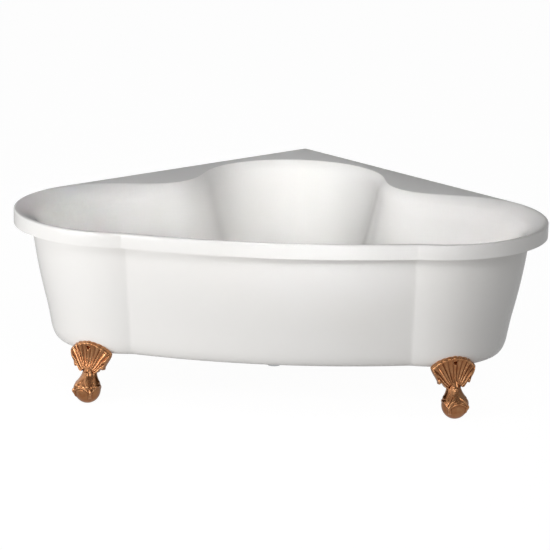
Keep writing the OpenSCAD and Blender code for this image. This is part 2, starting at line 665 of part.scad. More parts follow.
// Pop-up plug, drawn closed: the seal lies just over the flange
seal_t = 2.5;
plug_r = 29;
module waste_plug() color("gainsboro") {
  at_drain(floor_z + flange_t + seat_gap + seal_t) cylinder(r1 = plug_r, r2 = plug_r - 4, h = 4);
  at_drain(inlet_z - 3) cylinder(r = stem_r, h = floor_z + flange_t + seal_t + 1 - inlet_z + 3);
}
module plug_seal() color("dimgray") at_drain(floor_z + flange_t + seat_gap) difference() {
  cylinder(r = plug_r - 1, h = seal_t);
  translate([0, 0, -1]) cylinder(r = throat_in + 0.5, h = seal_t + 2);
}

// Overflow in the front wall, with Z pointing into the well and Y down the wall
cup_r = 24;
pipe_in = acrylic_t + nut_r + 1;
cup_back = pipe_in + socket_r + 1;
socket_out = plate_r + 10;
module down_wall(y) at_overflow() translate([0, y, -pipe_in]) rotate([-90, 0, 0]) children();
module overflow_plate() color("gainsboro") at_overflow() difference() {
  union() {
    cylinder(r1 = plate_r, r2 = plate_r - 1.5, h = 3);
    cylinder(r = 12, h = 7);
  }
  translate([0, 0, -1]) cylinder(r = axle_r + run_fit, h = 9);
  for (a = [0:45:315]) rotate(a) translate([(12 + cup_r) / 2, 0, -1]) cylinder(r = 3, h = 5);
}
knob_h = 18;
drum_r = 9;
module overflow_knob() color("gainsboro") at_overflow() {
  translate([0, 0, 7 + seat_gap]) difference() {
    cylinder(r1 = knob_r, r2 = knob_r - 2, h = knob_h);
    for (a = [0:60:300]) rotate(a) translate([knob_r + 5, 0, -1]) cylinder(r = 9, h = knob_h + 2);
  }
  translate([0, 0, -pipe_in - 3]) cylinder(r = axle_r, h = pipe_in + 3 + 8);
  translate([0, 0, -pipe_in - 3]) cylinder(r = drum_r, h = 6);
}
module overflow_gasket() color("dimgray")
  at_overflow() translate([0, 0, -acrylic_t - gasket_t]) difference() {
    cylinder(r = plate_r - 4, h = gasket_t);
    translate([0, 0, -1]) cylinder(r = cup_r + seat_gap, h = gasket_t + 2);
  }
module overflow_elbow() color("dimgray") difference() {
  union() {
    at_overflow() translate([0, 0, -acrylic_t - gasket_t - 4]) cylinder(r = plate_r - 4, h = 4);
    at_overflow() translate([0, 0, -cup_back]) cylinder(r = cup_r, h = cup_back - seat_gap);
    down_wall(0) cylinder(r = socket_r, h = socket_out);
  }
  at_overflow() translate([0, 0, 3 - cup_back]) cylinder(r = cup_r - 3, h = cup_back);
  down_wall(0) cylinder(r = pipe_r - pipe_t, h = socket_out + 1);
  down_wall(socket_out - nut_w + 2) cylinder(r = pipe_r, h = nut_w);
}

// Overflow pipe: down behind the wall, round a bend and level to the waste body
bend_r = 50;
pipe_y = overflow_y - pipe_in * cos(wall_tilt);
pipe_z = overflow_z - pipe_in * sin(wall_tilt);
fall = (pipe_z - inlet_z) / cos(wall_tilt);
corner_l = bend_r * tan((90 - wall_tilt) / 2);
level_y = pipe_y + fall * sin(wall_tilt) + corner_l;
bend_start = fall - corner_l;
pipe_start = socket_out - nut_w + 2;
pipe_end = drain_y - inlet_out + nut_w - 1;
bore_r = pipe_r - pipe_t;
lap = 0.5;
module at_level(y) translate([0, y, inlet_z]) rotate([-90, 0, 0]) children();
module bend(r) translate([0, level_y, inlet_z + bend_r]) rotate([90, 0, 90]) rotate(180 + wall_tilt)
  rotate_extrude(angle = 90 - wall_tilt) translate([bend_r, 0]) circle(r = r);
module overflow_pipe() color("lightgray") down_wall(pipe_start) difference() {
  cylinder(r = pipe_r, h = bend_start - pipe_start - 2);
  translate([0, 0, -1]) cylinder(r = bore_r, h = bend_start);
}
module pipe_bend() color("dimgray") difference() {
  union() {
    bend(pipe_r);
    down_wall(bend_start - nut_w) cylinder(r = socket_r, h = nut_w + 2);
    at_level(level_y - 2) cylinder(r = socket_r, h = 5);
    at_level(level_y) cylinder(r = pipe_r, h = pipe_end - level_y);
  }
  bend(bore_r - lap);
  down_wall(bend_start - nut_w - 1) cylinder(r = pipe_r, h = nut_w - 1);
  down_wall(bend_start - 3) cylinder(r = bore_r, h = 3 + lap);
  at_level(level_y - lap) cylinder(r = bore_r, h = pipe_end - level_y + 1);
}
module slip_nut() difference() {
  cylinder(r = nut_r, h = nut_w);
  translate([0, 0, -1]) cylinder(r = pipe_r + thread_fit, h = nut_w + 2);
  translate([0, 0, -1]) cylinder(r = socket_r + thread_fit, h = nut_w - 2);
}
module slip_nuts() color("dimgray") {
  down_wall(socket_out - nut_w + 3) slip_nut();
  at_drain(inlet_z) translate([0, nut_w - 3 - inlet_out, 0]) rotate([90, 0, 0]) slip_nut();
}
down = [0, sin(wall_tilt), -cos(wall_tilt)];
cable_end = drain_y - stem_r - seat_gap;
cable_r = 2.5;
module lift_cable() color("black") limb(concat(
  [[0, pipe_y, pipe_z] + (drum_r + seat_gap) * down],
  [for (a = [wall_tilt:12:90])
    [0, level_y, inlet_z + bend_r] - bend_r * [0, cos(a), sin(a)]],
  [[0, level_y, inlet_z], [0, cable_end, inlet_z]]), [for (i = [0:20]) cable_r]);

basin();
outer_skirt();
laminate_backing();
deck_panels();
rim_battens();
skirt_screws();
base_board();
cradle();
cradle_screws();
foot_left();
foot_right();
foot_rear();
foot_studs();
foot_washers();
foot_nuts();
foot_fixing_screws();
foot_fixing_nuts();
waste_flange();
waste_gasket();
waste_body();
tailpiece();
waste_plug();
plug_seal();
overflow_plate();
overflow_knob();
overflow_gasket();
overflow_elbow();
overflow_pipe();
pipe_bend();
slip_nuts();
lift_cable();
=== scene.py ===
import math

import bmesh
import bpy
import numpy as np
from mathutils import Matrix, Vector


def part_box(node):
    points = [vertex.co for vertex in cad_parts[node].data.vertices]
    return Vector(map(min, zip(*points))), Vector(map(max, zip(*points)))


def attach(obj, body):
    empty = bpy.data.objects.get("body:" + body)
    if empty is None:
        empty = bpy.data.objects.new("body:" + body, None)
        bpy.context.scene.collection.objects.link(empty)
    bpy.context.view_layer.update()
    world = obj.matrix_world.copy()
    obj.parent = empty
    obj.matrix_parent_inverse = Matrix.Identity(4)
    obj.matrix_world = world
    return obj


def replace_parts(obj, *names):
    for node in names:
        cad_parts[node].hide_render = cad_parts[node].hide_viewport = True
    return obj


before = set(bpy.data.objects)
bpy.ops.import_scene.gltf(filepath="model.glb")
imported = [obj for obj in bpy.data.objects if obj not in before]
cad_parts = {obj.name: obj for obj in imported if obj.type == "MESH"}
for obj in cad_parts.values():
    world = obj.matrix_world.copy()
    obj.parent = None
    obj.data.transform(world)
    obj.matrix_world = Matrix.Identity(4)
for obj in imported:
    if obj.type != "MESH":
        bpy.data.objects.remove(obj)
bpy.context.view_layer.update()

# Camera. It stands where the photograph was taken from: a little to the right of the tub's
# middle and 15 degrees above it, 8.4 m away, with its horizon turned by one degree.
turn = math.radians(5.105)
rise = math.radians(14.56)
roll = math.radians(0.95)
back = Vector((math.sin(turn) * math.cos(rise), -math.cos(turn) * math.cos(rise), math.sin(rise)))
right = Vector((math.cos(turn), math.sin(turn), 0))
up = back.cross(right)
camera = bpy.data.objects.new("camera", bpy.data.cameras.new("camera"))
bpy.context.collection.objects.link(camera)
camera.data.lens = 169.1
camera.data.sensor_width = 36
camera.rotation_mode = "QUATERNION"
camera.rotation_quaternion = Matrix((
    math.cos(roll) * right + math.sin(roll) * up,
    math.cos(roll) * up - math.sin(roll) * right,
    back)).transposed().to_quaternion()
camera.location = Vector((-0.0375, 0.0025, 0.295)) + back * 8.4444
bpy.context.scene.camera = camera

# Basin. One sheet of acrylic, 5 mm thick, vacuum formed over a mould: square rear corner, a lobe
# at each end, a bowed front, two decks and a well with three lobes. It is drawn with the same
# arcs as the solid, in more steps, and its creases are eased as a mould eases them.
side = 1.400
lobe_r, lobe_out, bow_r, waist_r, corner_r = 0.365, 0.418, 1.887, 0.040, 0.012
rim_h, lip_z, rim_edge, rim_w = 0.575, 0.529, 0.006, 0.010
floor_z = 0.2056
sheet_t = 0.005
well = {"flare": (0.025, 0.072, 0.100), "foot": (0.085, 0.180, 0.180)}
flare_h, edge_a, round_w, round_h = 0.060, 38, 0.045, 0.055
lobe_x = (side - 2 * lobe_r) / math.sqrt(2)
corner_cut = corner_r * (math.sqrt(2) - 1)
lobe_y = (lobe_out - lobe_x - lobe_r * math.sqrt(2) + corner_cut) / 2
rear_y = lobe_y + lobe_x + lobe_r * math.sqrt(2)
front_y = lobe_y - lobe_out
lobe_c = np.array([lobe_x, lobe_y])
bow_c = np.array([0, front_y + bow_r])


def toward(angle):
    a = np.radians(angle)
    return np.stack([np.cos(a), np.sin(a)], -1)


def angle_of(v):
    return math.degrees(math.atan2(v[1], v[0]))


def meet(c0, r0, c1, r1, way):
    gap = np.linalg.norm(c1 - c0)
    e = (c1 - c0) / gap
    a = (r0 * r0 - r1 * r1 + gap * gap) / (2 * gap)
    return c0 + a * e + way * math.sqrt(r0 * r0 - a * a) * np.array([e[1], -e[0]])


def waist(inset, bow_inset):
    return meet(lobe_c, lobe_r - inset + waist_r, bow_c, bow_r - bow_inset + waist_r, -1)


def stretch(c, r, a0, a1, n, out=1):
    d = toward(np.linspace(a0, a1, n + 1)[1:])
    return np.hstack([np.asarray(c) + r * d, out * d])


def whole(half):
    return np.vstack([half, (half[1:-1] * [-1, 1])[::-1]])


def at_z(outline, z):
    return np.column_stack([outline, np.full(len(outline), z)])


rear_n, turn_n, deck_n, shoulder_n = 48, 24, 12, 12
rear_r, turn_r, deck_r, shoulder_r = 0.307, 0.183, 0.405, 0.238
deck_a, shoulder_a = 68.3, 42
well_c = np.array([0, rear_y - 0.198 - rear_r])
shoulder_c = lobe_c + (lobe_r - rim_w - shoulder_r) * toward(shoulder_a)
deck_c = shoulder_c + (shoulder_r - deck_r) * toward(deck_a)
turn_c = meet(deck_c, deck_r + turn_r, well_c, rear_r + turn_r, 1)
turn_a0, turn_a1 = angle_of(turn_c - well_c), angle_of(turn_c - deck_c)
waist_0 = waist(0, 0)
waist_a = angle_of(waist_0 - lobe_c)
opening = np.vstack([
    [[0, well_c[1] + rear_r, 0, 1]],
    stretch(well_c, rear_r, 90, turn_a0, rear_n),
    stretch(turn_c, turn_r, turn_a0 + 180, turn_a1 + 180, turn_n, -1),
    stretch(deck_c, deck_r, turn_a1, deck_a, deck_n),
    stretch(shoulder_c, shoulder_r, deck_a, shoulder_a, shoulder_n),
    stretch(lobe_c, lobe_r - rim_w, shoulder_a, waist_a, 96),
    stretch(waist_0, waist_r + rim_w, angle_of(lobe_c - waist_0), angle_of(bow_c - waist_0), 6, -1),
    stretch(bow_c, bow_r - rim_w, angle_of(waist_0 - bow_c), -90, 44)])
radial_n = rear_n + turn_n + deck_n + shoulder_n


def eased(rows, passes):
    rows = rows.copy()
    for _ in range(passes):
        rows[1:-1] = (rows[:-2] + 2 * rows[1:-1] + rows[2:]) / 4
    return rows


# The mould runs from one arc to the next with no sudden change of curve, and keeps its size
soft = eased(opening[:radial_n + 1], 60)
opening[:radial_n + 1] = 2 * soft - eased(soft, 60)
opening[:, 2:] /= np.linalg.norm(opening[:, 2:], axis=1)[:, None]


def inside(widths):
    rear, end, front = widths
    x, y = opening[:, 0], opening[:, 1]
    s = np.clip((x - 0.5 * lobe_x) / (0.5 * lobe_x + 0.8 * lobe_r), 0, 1)
    s = s * s * (3 - 2 * s)
    width = s * end + (1 - s) * np.where(y > lobe_y, rear, front)
    return whole(opening[:, :2] - width[:, None] * opening[:, 2:])


def on_wall(w, inset):
    return np.array([0, rear_y]) + w * toward(-45) - inset * toward(45)


def rim(inset):
    corner_n = 10
    wall_end = (opening[rear_n, :2] - [0, rear_y]) @ [1, -1] / math.sqrt(2)
    points = []
    for i, (x, y, dx, dy) in enumerate(opening):
        p = np.array([x, y])
        a = angle_of(p - lobe_c)
        if i <= corner_n:
            c = np.array([0, rear_y - corner_r * math.sqrt(2)])
            points.append(c + (corner_r - inset) * toward(90 - 45 * i / corner_n))
        elif i <= rear_n:
            s = (i - corner_n) / (rear_n - corner_n)
            points.append(on_wall(corner_r + (wall_end - corner_r) * s, inset))
        elif a > 45:
            points.append(on_wall((p - [0, rear_y]) @ [1, -1] / math.sqrt(2), inset))
        elif i < radial_n:
            points.append(lobe_c + (lobe_r - inset) * toward(a))
        else:
            points.append(p + (rim_w - inset) * np.array([dx, dy]))
    return whole(np.array(points))


def flare(t, angle):
    """The wall's rolled top. It leaves the deck at a clear edge, as the photographed one does."""
    a, a0 = math.radians(edge_a + (90 - edge_a) * angle / 90), math.radians(edge_a)
    edge = inside((0, 0, 0))
    foot = inside([w - t for w in well["flare"]])
    return at_z(edge + (math.sin(a) - math.sin(a0)) / (1 - math.sin(a0)) * (foot - edge),
                rim_h - t - (flare_h - t) * (math.cos(a0) - math.cos(a)) / math.cos(a0))


def floor_round(t, angle):
    a = math.radians(angle)
    w = (round_w + t) * (1 - math.cos(a)) - t
    return at_z(inside([f + w for f in well["foot"]]), floor_z - t + (round_h + t) * (1 - math.sin(a)))


def well_rings(t, steps):
    rings = [flare(t, a) for a in np.linspace(0, 90, steps)]
    last, first = rings[-1], floor_round(t, 0)
    rings += [last + (first - last) * s for s in np.linspace(0, 1, steps + 2)[1:-1]]
    rings += [floor_round(t, a) for a in np.linspace(0, 90, steps)]
    r = np.array(rings)
    lo, hi = steps // 2, len(r) - steps // 3
    for _ in range(max(1, steps // 2)):
        r[lo:hi] = (r[lo - 1:hi - 1] + 2 * r[lo:hi] + r[lo + 1:hi + 1]) / 4
    return list(r)


def lofted(name, rings, first=None, last=None, ring_loop=False):
    """A skin over closed rings, closed by a fan at each end or joined into a loop."""
    n, m = len(rings[0]), len(rings)
    points = [tuple(p) for r in rings for p in r]
    faces = []
    for j in range(m if ring_loop else m - 1):
        u = (j + 1) % m
        faces += [(j * n + i, j * n + (i + 1) % n, u * n + (i + 1) % n, u * n + i) for i in range(n)]
    for end, j in ((first, 0), (last, m - 1)):
        if end is not None:
            points.append(tuple(end))
            faces += [(j * n + (i + 1) % n, j * n + i, len(points) - 1) for i in range(n)]
    mesh = bpy.data.meshes.new(name)
    mesh.from_pydata(points, [], faces)
    return smoothed(bpy.data.objects.new(name, mesh))


def smoothed(obj, angle=35):
    """Points the faces outwards and shades them smooth up to an angle."""
    if obj.name not in bpy.context.collection.objects:
        bpy.context.collection.objects.link(obj)
    bm = bmesh.new()
    bm.from_mesh(obj.data)
    bmesh.ops.remove_doubles(bm, verts=bm.verts, dist=1e-6)
    bmesh.ops.recalc_face_normals(bm, faces=bm.faces)
    bm.to_mesh(obj.data)
    bm.free()
    obj.data.polygons.foreach_set("use_smooth", [True] * len(obj.data.polygons))
    obj.data.set_sharp_from_angle(angle=math.radians(angle))
    return obj


def cut(obj, *cutters):
    """Takes the cutters' shapes out of obj, then deletes them."""
    for c in cutters:
        step = obj.modifiers.new("cut", "BOOLEAN")
        step.object = c
        step.solver = "EXACT"
        step.operation = "DIFFERENCE"
    bpy.context.view_layer.update()
    mesh = bpy.data.meshes.new_from_object(obj.evaluated_get(bpy.context.evaluated_depsgraph_get()))
    obj.modifiers.clear()
    obj.data = mesh
    for c in cutters:
        bpy.data.objects.remove(c)
    return smoothed(obj)


drain = Vector((0, front_y + rim_w + 0.180 + round_w + 0.060, floor_z))
overflow_z = rim_h - 0.105
wall_tilt = math.atan2(0.180 - 0.100, rim_h - flare_h - floor_z - round_h)
overflow = Vector((0, front_y + rim_w + 0.100 + (rim_h - flare_h - overflow_z) * math.tan(wall_tilt),
                   overflow_z))
# Frame of the overflow: Z points into the well and Y down the wall
overflow_frame = Matrix.Translation(overflow) @ Matrix.Rotation(wall_tilt - math.pi / 2, 4, "X")
drain_frame = Matrix.Translation(drain)


def turned(name, profile, place, steps=64):
    """A solid turned from (radius, height) points. Radius 0 at an end closes it."""
    a = np.linspace(0, 360, steps, endpoint=False)
    rings = [np.column_stack([r * toward(a), np.full(steps, h)]) for r, h in profile if r > 0]
    ends = [(0, 0, h) for r, h in profile if r == 0]
    first = ends[0] if profile[0][0] == 0 else None
    last = ends[-1] if profile[-1][0] == 0 else None
    obj = lofted(name, rings, first, last, ring_loop=first is None)
    obj.data.transform(place)
    return obj


def drill(name, r, h0, h1, place):
    return turned(name, [(0, h0), (r, h0), (r, h1), (0, h1)], place)


centre = (0, lobe_y)
basin = lofted("acrylic_basin",
               well_rings(sheet_t, 8)[::-1]
               + [at_z(rim(sheet_t), rim_h - sheet_t), at_z(rim(sheet_t), lip_z), at_z(rim(0), lip_z)]
               + [at_z(rim(rim_edge * (1 - math.cos(a))), rim_h - rim_edge * (1 - math.sin(a)))
                  for a in np.radians(np.linspace(0, 90, 7))]
               + [at_z(inside((-0.003, -0.003, -0.003)), rim_h)]
               + well_rings(0, 16),
               (*centre, floor_z - sheet_t), (*centre, floor_z))
cut(basin, drill("drain_hole", 0.026, -0.010, 0.005, drain_frame),
    drill("overflow_hole", 0.0243, -0.015, 0.005, overflow_frame))
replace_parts(basin, "basin")
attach(basin, "tub")


def colour(hex_code):
    """A linear colour from an sRGB hex value."""
    parts = [int(hex_code[i:i + 2], 16) / 255 for i in (1, 3, 5)]
    return [p / 12.92 if p <= 0.04045 else ((p + 0.055) / 1.055) ** 2.4 for p in parts] + [1]


def add_node(material, kind, settings=None, inputs=None):
    """Adds a node, sets its properties and sockets, and links sockets that are given as sockets."""
    node = material.node_tree.nodes.new(kind)
    for key, value in (settings or {}).items():
        setattr(node, key, value)
    for key, value in (inputs or {}).items():
        if isinstance(value, bpy.types.NodeSocket):
            material.node_tree.links.new(value, node.inputs[key])
        else:
            node.inputs[key].default_value = value
    return node


def new_material(name):
    material = bpy.data.materials.new(name)
    material.use_nodes = True
    material.node_tree.nodes.clear()
    return material


def finish_surface(material, inputs):
    """Ends a material in one shader with these sockets."""
    shader = add_node(material, "ShaderNodeBsdfPrincipled", inputs=inputs)
    add_node(material, "ShaderNodeOutputMaterial", inputs={"Surface": shader.outputs["BSDF"]})
    return material


# Cast acrylic, vacuum formed: a deep gloss, with the faint unevenness that forming leaves
acrylic = new_material("acrylic_vacuum_formed_white")
where = add_node(acrylic, "ShaderNodeTexCoord").outputs["Object"]
waves = add_node(acrylic, "ShaderNodeTexNoise", inputs={"Vector": where, "Scale": 4, "Detail": 1})
tint = add_node(acrylic, "ShaderNodeMix", {"data_type": "RGBA"},
                {0: waves.outputs["Fac"], 6: colour("#f5f3f0"), 7: colour("#f8f7f5")})
gloss = add_node(acrylic, "ShaderNodeMapRange", inputs={
    "Value": waves.outputs["Fac"], "To Min": 0.08, "To Max": 0.12})
swell = add_node(acrylic, "ShaderNodeBump", inputs={
    "Strength": 0.1, "Distance": 0.002, "Height": waves.outputs["Fac"]})
finish_surface(acrylic, {"Base Color": tint.outputs[2], "Roughness": gloss.outputs[0],
                         "IOR": 1.49, "Normal": swell.outputs[0]})
basin.data.materials.append(acrylic)

# Outer skirt. A second formed acrylic sheet, 4 mm thick, that stands under the lip, bellies in
# towards its rounded bottom edge and turns in under itself. Screws hold it to the battens.
skirt_z, overhang, taper, belly = 0.155, 0.056, 0.055, 0.006
edge_in, edge_up, return_w, skirt_t, rear_skirt_r = 0.035, 0.087, 0.025, 0.004, 0.290
edge_z = skirt_z + edge_up
foot_in = overhang + taper + edge_in


def plan(inset, bow_inset):
    w = waist(inset, bow_inset)
    half = np.vstack([
        [[0, rear_y - rear_skirt_r * math.sqrt(2) + rear_skirt_r - inset, 0, 1]],
        stretch([0, rear_y - rear_skirt_r * math.sqrt(2)], rear_skirt_r - inset, 90, 45, 30),
        stretch(lobe_c, lobe_r - inset, 45, angle_of(w - lobe_c), 110),
        stretch(w, waist_r, angle_of(lobe_c - w), angle_of(bow_c - w), 8),
        stretch(bow_c, bow_r - bow_inset, angle_of(w - bow_c), -90, 44)])
    return whole(half[:, :2])


def skirt_line(z):
    t = (lip_z - z) / (lip_z - edge_z)
    if z > edge_z:
        return overhang + taper * t + 4 * belly * t * (t - 1)
    return foot_in - edge_in * math.sqrt(max(0, 1 - ((edge_z - z) / edge_up) ** 2))


def skirt_in(z):
    """The skirt's line, eased over the bend where its wall meets the rounded edge."""
    reach = max(0, min(0.036, 0.6 * (z - skirt_z), lip_z - z))
    return float(np.mean([skirt_line(z + reach * s) for s in np.linspace(-1, 1, 9)]))


def skirt_ring(inset, z):
    return at_z(plan(inset, inset + 0.003 * max(0, inset - overhang) / (taper + edge_in)), z)


flange_z = lip_z + 0.004
rounds = np.radians(np.linspace(0, 90, 13))
heights = np.linspace(edge_z, lip_z, 11)[1:]
skirt = lofted("acrylic_skirt", [skirt_ring(foot_in + return_w, skirt_z)]
               + [skirt_ring(skirt_in(z), z) for z in edge_z - edge_up * np.cos(rounds)]
               + [skirt_ring(skirt_in(z), z) for z in heights]
               + [skirt_ring(overhang, flange_z), skirt_ring(0.012, flange_z),
                  skirt_ring(0.012, flange_z + skirt_t), skirt_ring(overhang + skirt_t, flange_z + skirt_t)]
               + [skirt_ring(skirt_in(z) + skirt_t, z) for z in heights[::-3]]
               + [skirt_ring(skirt_in(z) + skirt_t, z)
                  for z in edge_z - (edge_up - skirt_t) * np.cos(rounds[::-2])]
               + [skirt_ring(foot_in + return_w, skirt_z + skirt_t)], ring_loop=True)
skirt.data.materials.append(acrylic)
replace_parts(skirt, "outer_skirt")
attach(skirt, "tub")

# Backing. Chopped glass fibre and resin, sprayed on the underside of the formed sheet and rolled
# flat by hand, which leaves a rough, straw-coloured, slightly see-through coat.
def dress(node_name, material):
    """Gives a CAD node its finish. Its shape is already right."""
    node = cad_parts[node_name]
    node.data.materials.clear()
    node.data.materials.append(material)


laminate = new_material("glass_fibre_sprayed_and_rolled")
where = add_node(laminate, "ShaderNodeTexCoord").outputs["Object"]
strands = add_node(laminate, "ShaderNodeTexNoise", inputs={
    "Vector": where, "Scale": 90, "Detail": 6, "Roughness": 0.7, "Distortion": 2.5})
straw = add_node(laminate, "ShaderNodeMix", {"data_type": "RGBA"},
                 {0: strands.outputs["Fac"], 6: colour("#b9a887"), 7: colour("#d9ccb0")})
relief = add_node(laminate, "ShaderNodeBump", inputs={
    "Strength": 0.6, "Distance": 0.002, "Height": strands.outputs["Fac"]})
finish_surface(laminate, {"Base Color": straw.outputs[2], "Roughness": 0.55, "Normal": relief.outputs[0]})
coat_top, coat_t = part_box("laminate_backing")[1].z, 0.003
coat = lofted("glass_fibre_coat",
              [r for r in well_rings(sheet_t + 0.0003 + coat_t, 8)[::-1] if r[0, 2] < coat_top]
              + [r for r in well_rings(sheet_t + 0.0003, 8) if r[0, 2] < coat_top],
              (*centre, floor_z - sheet_t - 0.0003 - coat_t), (*centre, floor_z - sheet_t - 0.0003))
cut(coat, drill("drain_hole", 0.030, -0.015, 0.005, drain_frame),
    drill("overflow_hole", 0.038, -0.020, 0.005, overflow_frame))
coat.data.materials.append(laminate)
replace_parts(coat, "laminate_backing")
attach(coat, "tub")

# Boards and battens. Plywood, sawn to shape: one board under the well, one in each corner of the
# decks, and a ring of battens inside the lip that the skirt is screwed to.
plywood = new_material("plywood_sawn")
where = add_node(plywood, "ShaderNodeTexCoord").outputs["Object"]
along = add_node(plywood, "ShaderNodeMapping", inputs={"Vector": where, "Scale": (3, 40, 40)})
fibres = add_node(plywood, "ShaderNodeTexNoise", inputs={
    "Vector": along.outputs[0], "Scale": 6, "Detail": 8, "Roughness": 0.65})
year_rings = add_node(plywood, "ShaderNodeTexWave", {"bands_direction": "Y"}, {
    "Vector": where, "Scale": 9, "Distortion": 6, "Detail": 3, "Detail Scale": 1.5})
both = add_node(plywood, "ShaderNodeMath", {"operation": "MULTIPLY"},
                {0: fibres.outputs["Fac"], 1: year_rings.outputs["Fac"]})
veneer = add_node(plywood, "ShaderNodeMix", {"data_type": "RGBA"},
                  {0: both.outputs[0], 6: colour("#c9a877"), 7: colour("#8f6a40")})
pores = add_node(plywood, "ShaderNodeBump", inputs={
    "Strength": 0.3, "Distance": 0.0006, "Height": fibres.outputs["Fac"]})
finish_surface(plywood, {"Base Color": veneer.outputs[2], "Roughness": 0.7, "Normal": pores.outputs[0]})
for board in ("base_board", "deck_panels", "rim_battens"):
    dress(board, plywood)

# Cradle. Square steel tube, welded into a frame under the base board with a plate over each foot,
# and powder coated black, which gives a fine, even orange-peel surface.
coated = new_material("steel_powder_coated_black")
where = add_node(coated, "ShaderNodeTexCoord").outputs["Object"]
peel = add_node(coated, "ShaderNodeTexNoise", inputs={"Vector": where, "Scale": 700, "Detail": 2})
dust = add_node(coated, "ShaderNodeTexNoise", inputs={"Vector": where, "Scale": 12, "Detail": 4})
soot = add_node(coated, "ShaderNodeMix", {"data_type": "RGBA"},
                {0: dust.outputs["Fac"], 6: colour("#191a1b"), 7: colour("#2b2c2d")})
skin = add_node(coated, "ShaderNodeBump", inputs={
    "Strength": 0.25, "Distance": 0.0003, "Height": peel.outputs["Fac"]})
finish_surface(coated, {"Base Color": soot.outputs[2], "Roughness": 0.42, "Normal": skin.outputs[0]})
dress("cradle", coated)

# Fasteners. Zinc-plated steel: pan-head screws with a cross recess up into the battens and the
# base board, and a hexagon bolt, washer and nut over each foot. Each shape is made once, and
# geometry nodes put a copy of it, turned at random, on every place that the solids have.
zinc = new_material("steel_zinc_plated")
where = add_node(zinc, "ShaderNodeTexCoord").outputs["Object"]
spangle = add_node(zinc, "ShaderNodeTexVoronoi", inputs={"Vector": where, "Scale": 350})
plating = add_node(zinc, "ShaderNodeMix", {"data_type": "RGBA"},
                   {0: spangle.outputs["Distance"], 6: colour("#c9cbc6"), 7: colour("#9fa29c")})
passivation = add_node(zinc, "ShaderNodeMapRange", inputs={
    "Value": spangle.outputs["Distance"], "To Min": 0.28, "To Max": 0.42})
finish_surface(zinc, {"Base Color": plating.outputs[2], "Metallic": 1.0, "Roughness": passivation.outputs[0]})


def solid_boxes(node_name):
    """Lowest and highest corner of each separate solid in a CAD node."""
    bm = bmesh.new()
    bm.from_mesh(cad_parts[node_name].data)
    bmesh.ops.remove_doubles(bm, verts=bm.verts, dist=1e-6)
    left, boxes = set(bm.verts), []
    while left:
        group, edge_of = set(), [left.pop()]
        while edge_of:
            v = edge_of.pop()
            group.add(v)
            for e in v.link_edges:
                o = e.other_vert(v)
                if o in left:
                    left.discard(o)
                    edge_of.append(o)
        co = np.array([v.co for v in group])
        boxes.append((co.min(0), co.max(0)))
    bm.free()
    return sorted(boxes, key=lambda b: tuple(np.round(b[0], 4)))


def spread(name, unit, spots, material, seed):
    """Puts unit on every spot, turned at random about its own axis, and returns one plain mesh."""
    tree = bpy.data.node_groups.new(name + "_spread", "GeometryNodeTree")
    for label, kind, way in (("Spots", "NodeSocketGeometry", "INPUT"), ("Unit", "NodeSocketObject", "INPUT"),
                             ("Most turn", "NodeSocketFloat", "INPUT"), ("Seed", "NodeSocketInt", "INPUT"),
                             ("Finish", "NodeSocketMaterial", "INPUT"),
                             ("Copies", "NodeSocketGeometry", "OUTPUT")):
        tree.interface.new_socket(label, in_out=way, socket_type=kind)
    enter = tree.nodes.new("NodeGroupInput")
    leave = tree.nodes.new("NodeGroupOutput")
    info = tree.nodes.new("GeometryNodeObjectInfo")
    turn_by = tree.nodes.new("FunctionNodeRandomValue")
    spin = tree.nodes.new("ShaderNodeCombineXYZ")
    put = tree.nodes.new("GeometryNodeInstanceOnPoints")
    plain = tree.nodes.new("GeometryNodeRealizeInstances")
    finish = tree.nodes.new("GeometryNodeSetMaterial")
    for a, b in ((enter.outputs["Unit"], info.inputs["Object"]),
                 (enter.outputs["Most turn"], turn_by.inputs[3]),
                 (enter.outputs["Seed"], turn_by.inputs["Seed"]),
                 (turn_by.outputs[1], spin.inputs["Z"]),
                 (enter.outputs["Spots"], put.inputs["Points"]),
                 (info.outputs["Geometry"], put.inputs["Instance"]),
                 (spin.outputs[0], put.inputs["Rotation"]),
                 (put.outputs[0], plain.inputs[0]), (plain.outputs[0], finish.inputs["Geometry"]),
                 (enter.outputs["Finish"], finish.inputs["Material"]), (finish.outputs[0], leave.inputs[0])):
        tree.links.new(a, b)
    mesh = bpy.data.meshes.new(name)
    mesh.from_pydata([tuple(v) for v in spots], [], [])
    obj = bpy.data.objects.new(name, mesh)
    bpy.context.collection.objects.link(obj)
    step = obj.modifiers.new("spread", "NODES")
    step.node_group = tree
    values = {"Unit": unit, "Most turn": 2 * math.pi, "Seed": seed, "Finish": material}
    for item in tree.interface.items_tree:
        if item.name in values:
            step[item.identifier] = values[item.name]
    bpy.context.view_layer.update()
    copies = bpy.data.meshes.new_from_object(obj.evaluated_get(bpy.context.evaluated_depsgraph_get()))
    obj.modifiers.clear()
    obj.data = copies
    bpy.data.objects.remove(unit)
    return smoothed(obj, 30)


def joined(name, objs):
    """One object from several."""
    bm = bmesh.new()
    for o in objs:
        bm.from_mesh(o.data)
        bpy.data.objects.remove(o)
    mesh = bpy.data.meshes.new(name)
    bm.to_mesh(mesh)
    bm.free()
    obj = bpy.data.objects.new(name, mesh)
    bpy.context.collection.objects.link(obj)
    return obj


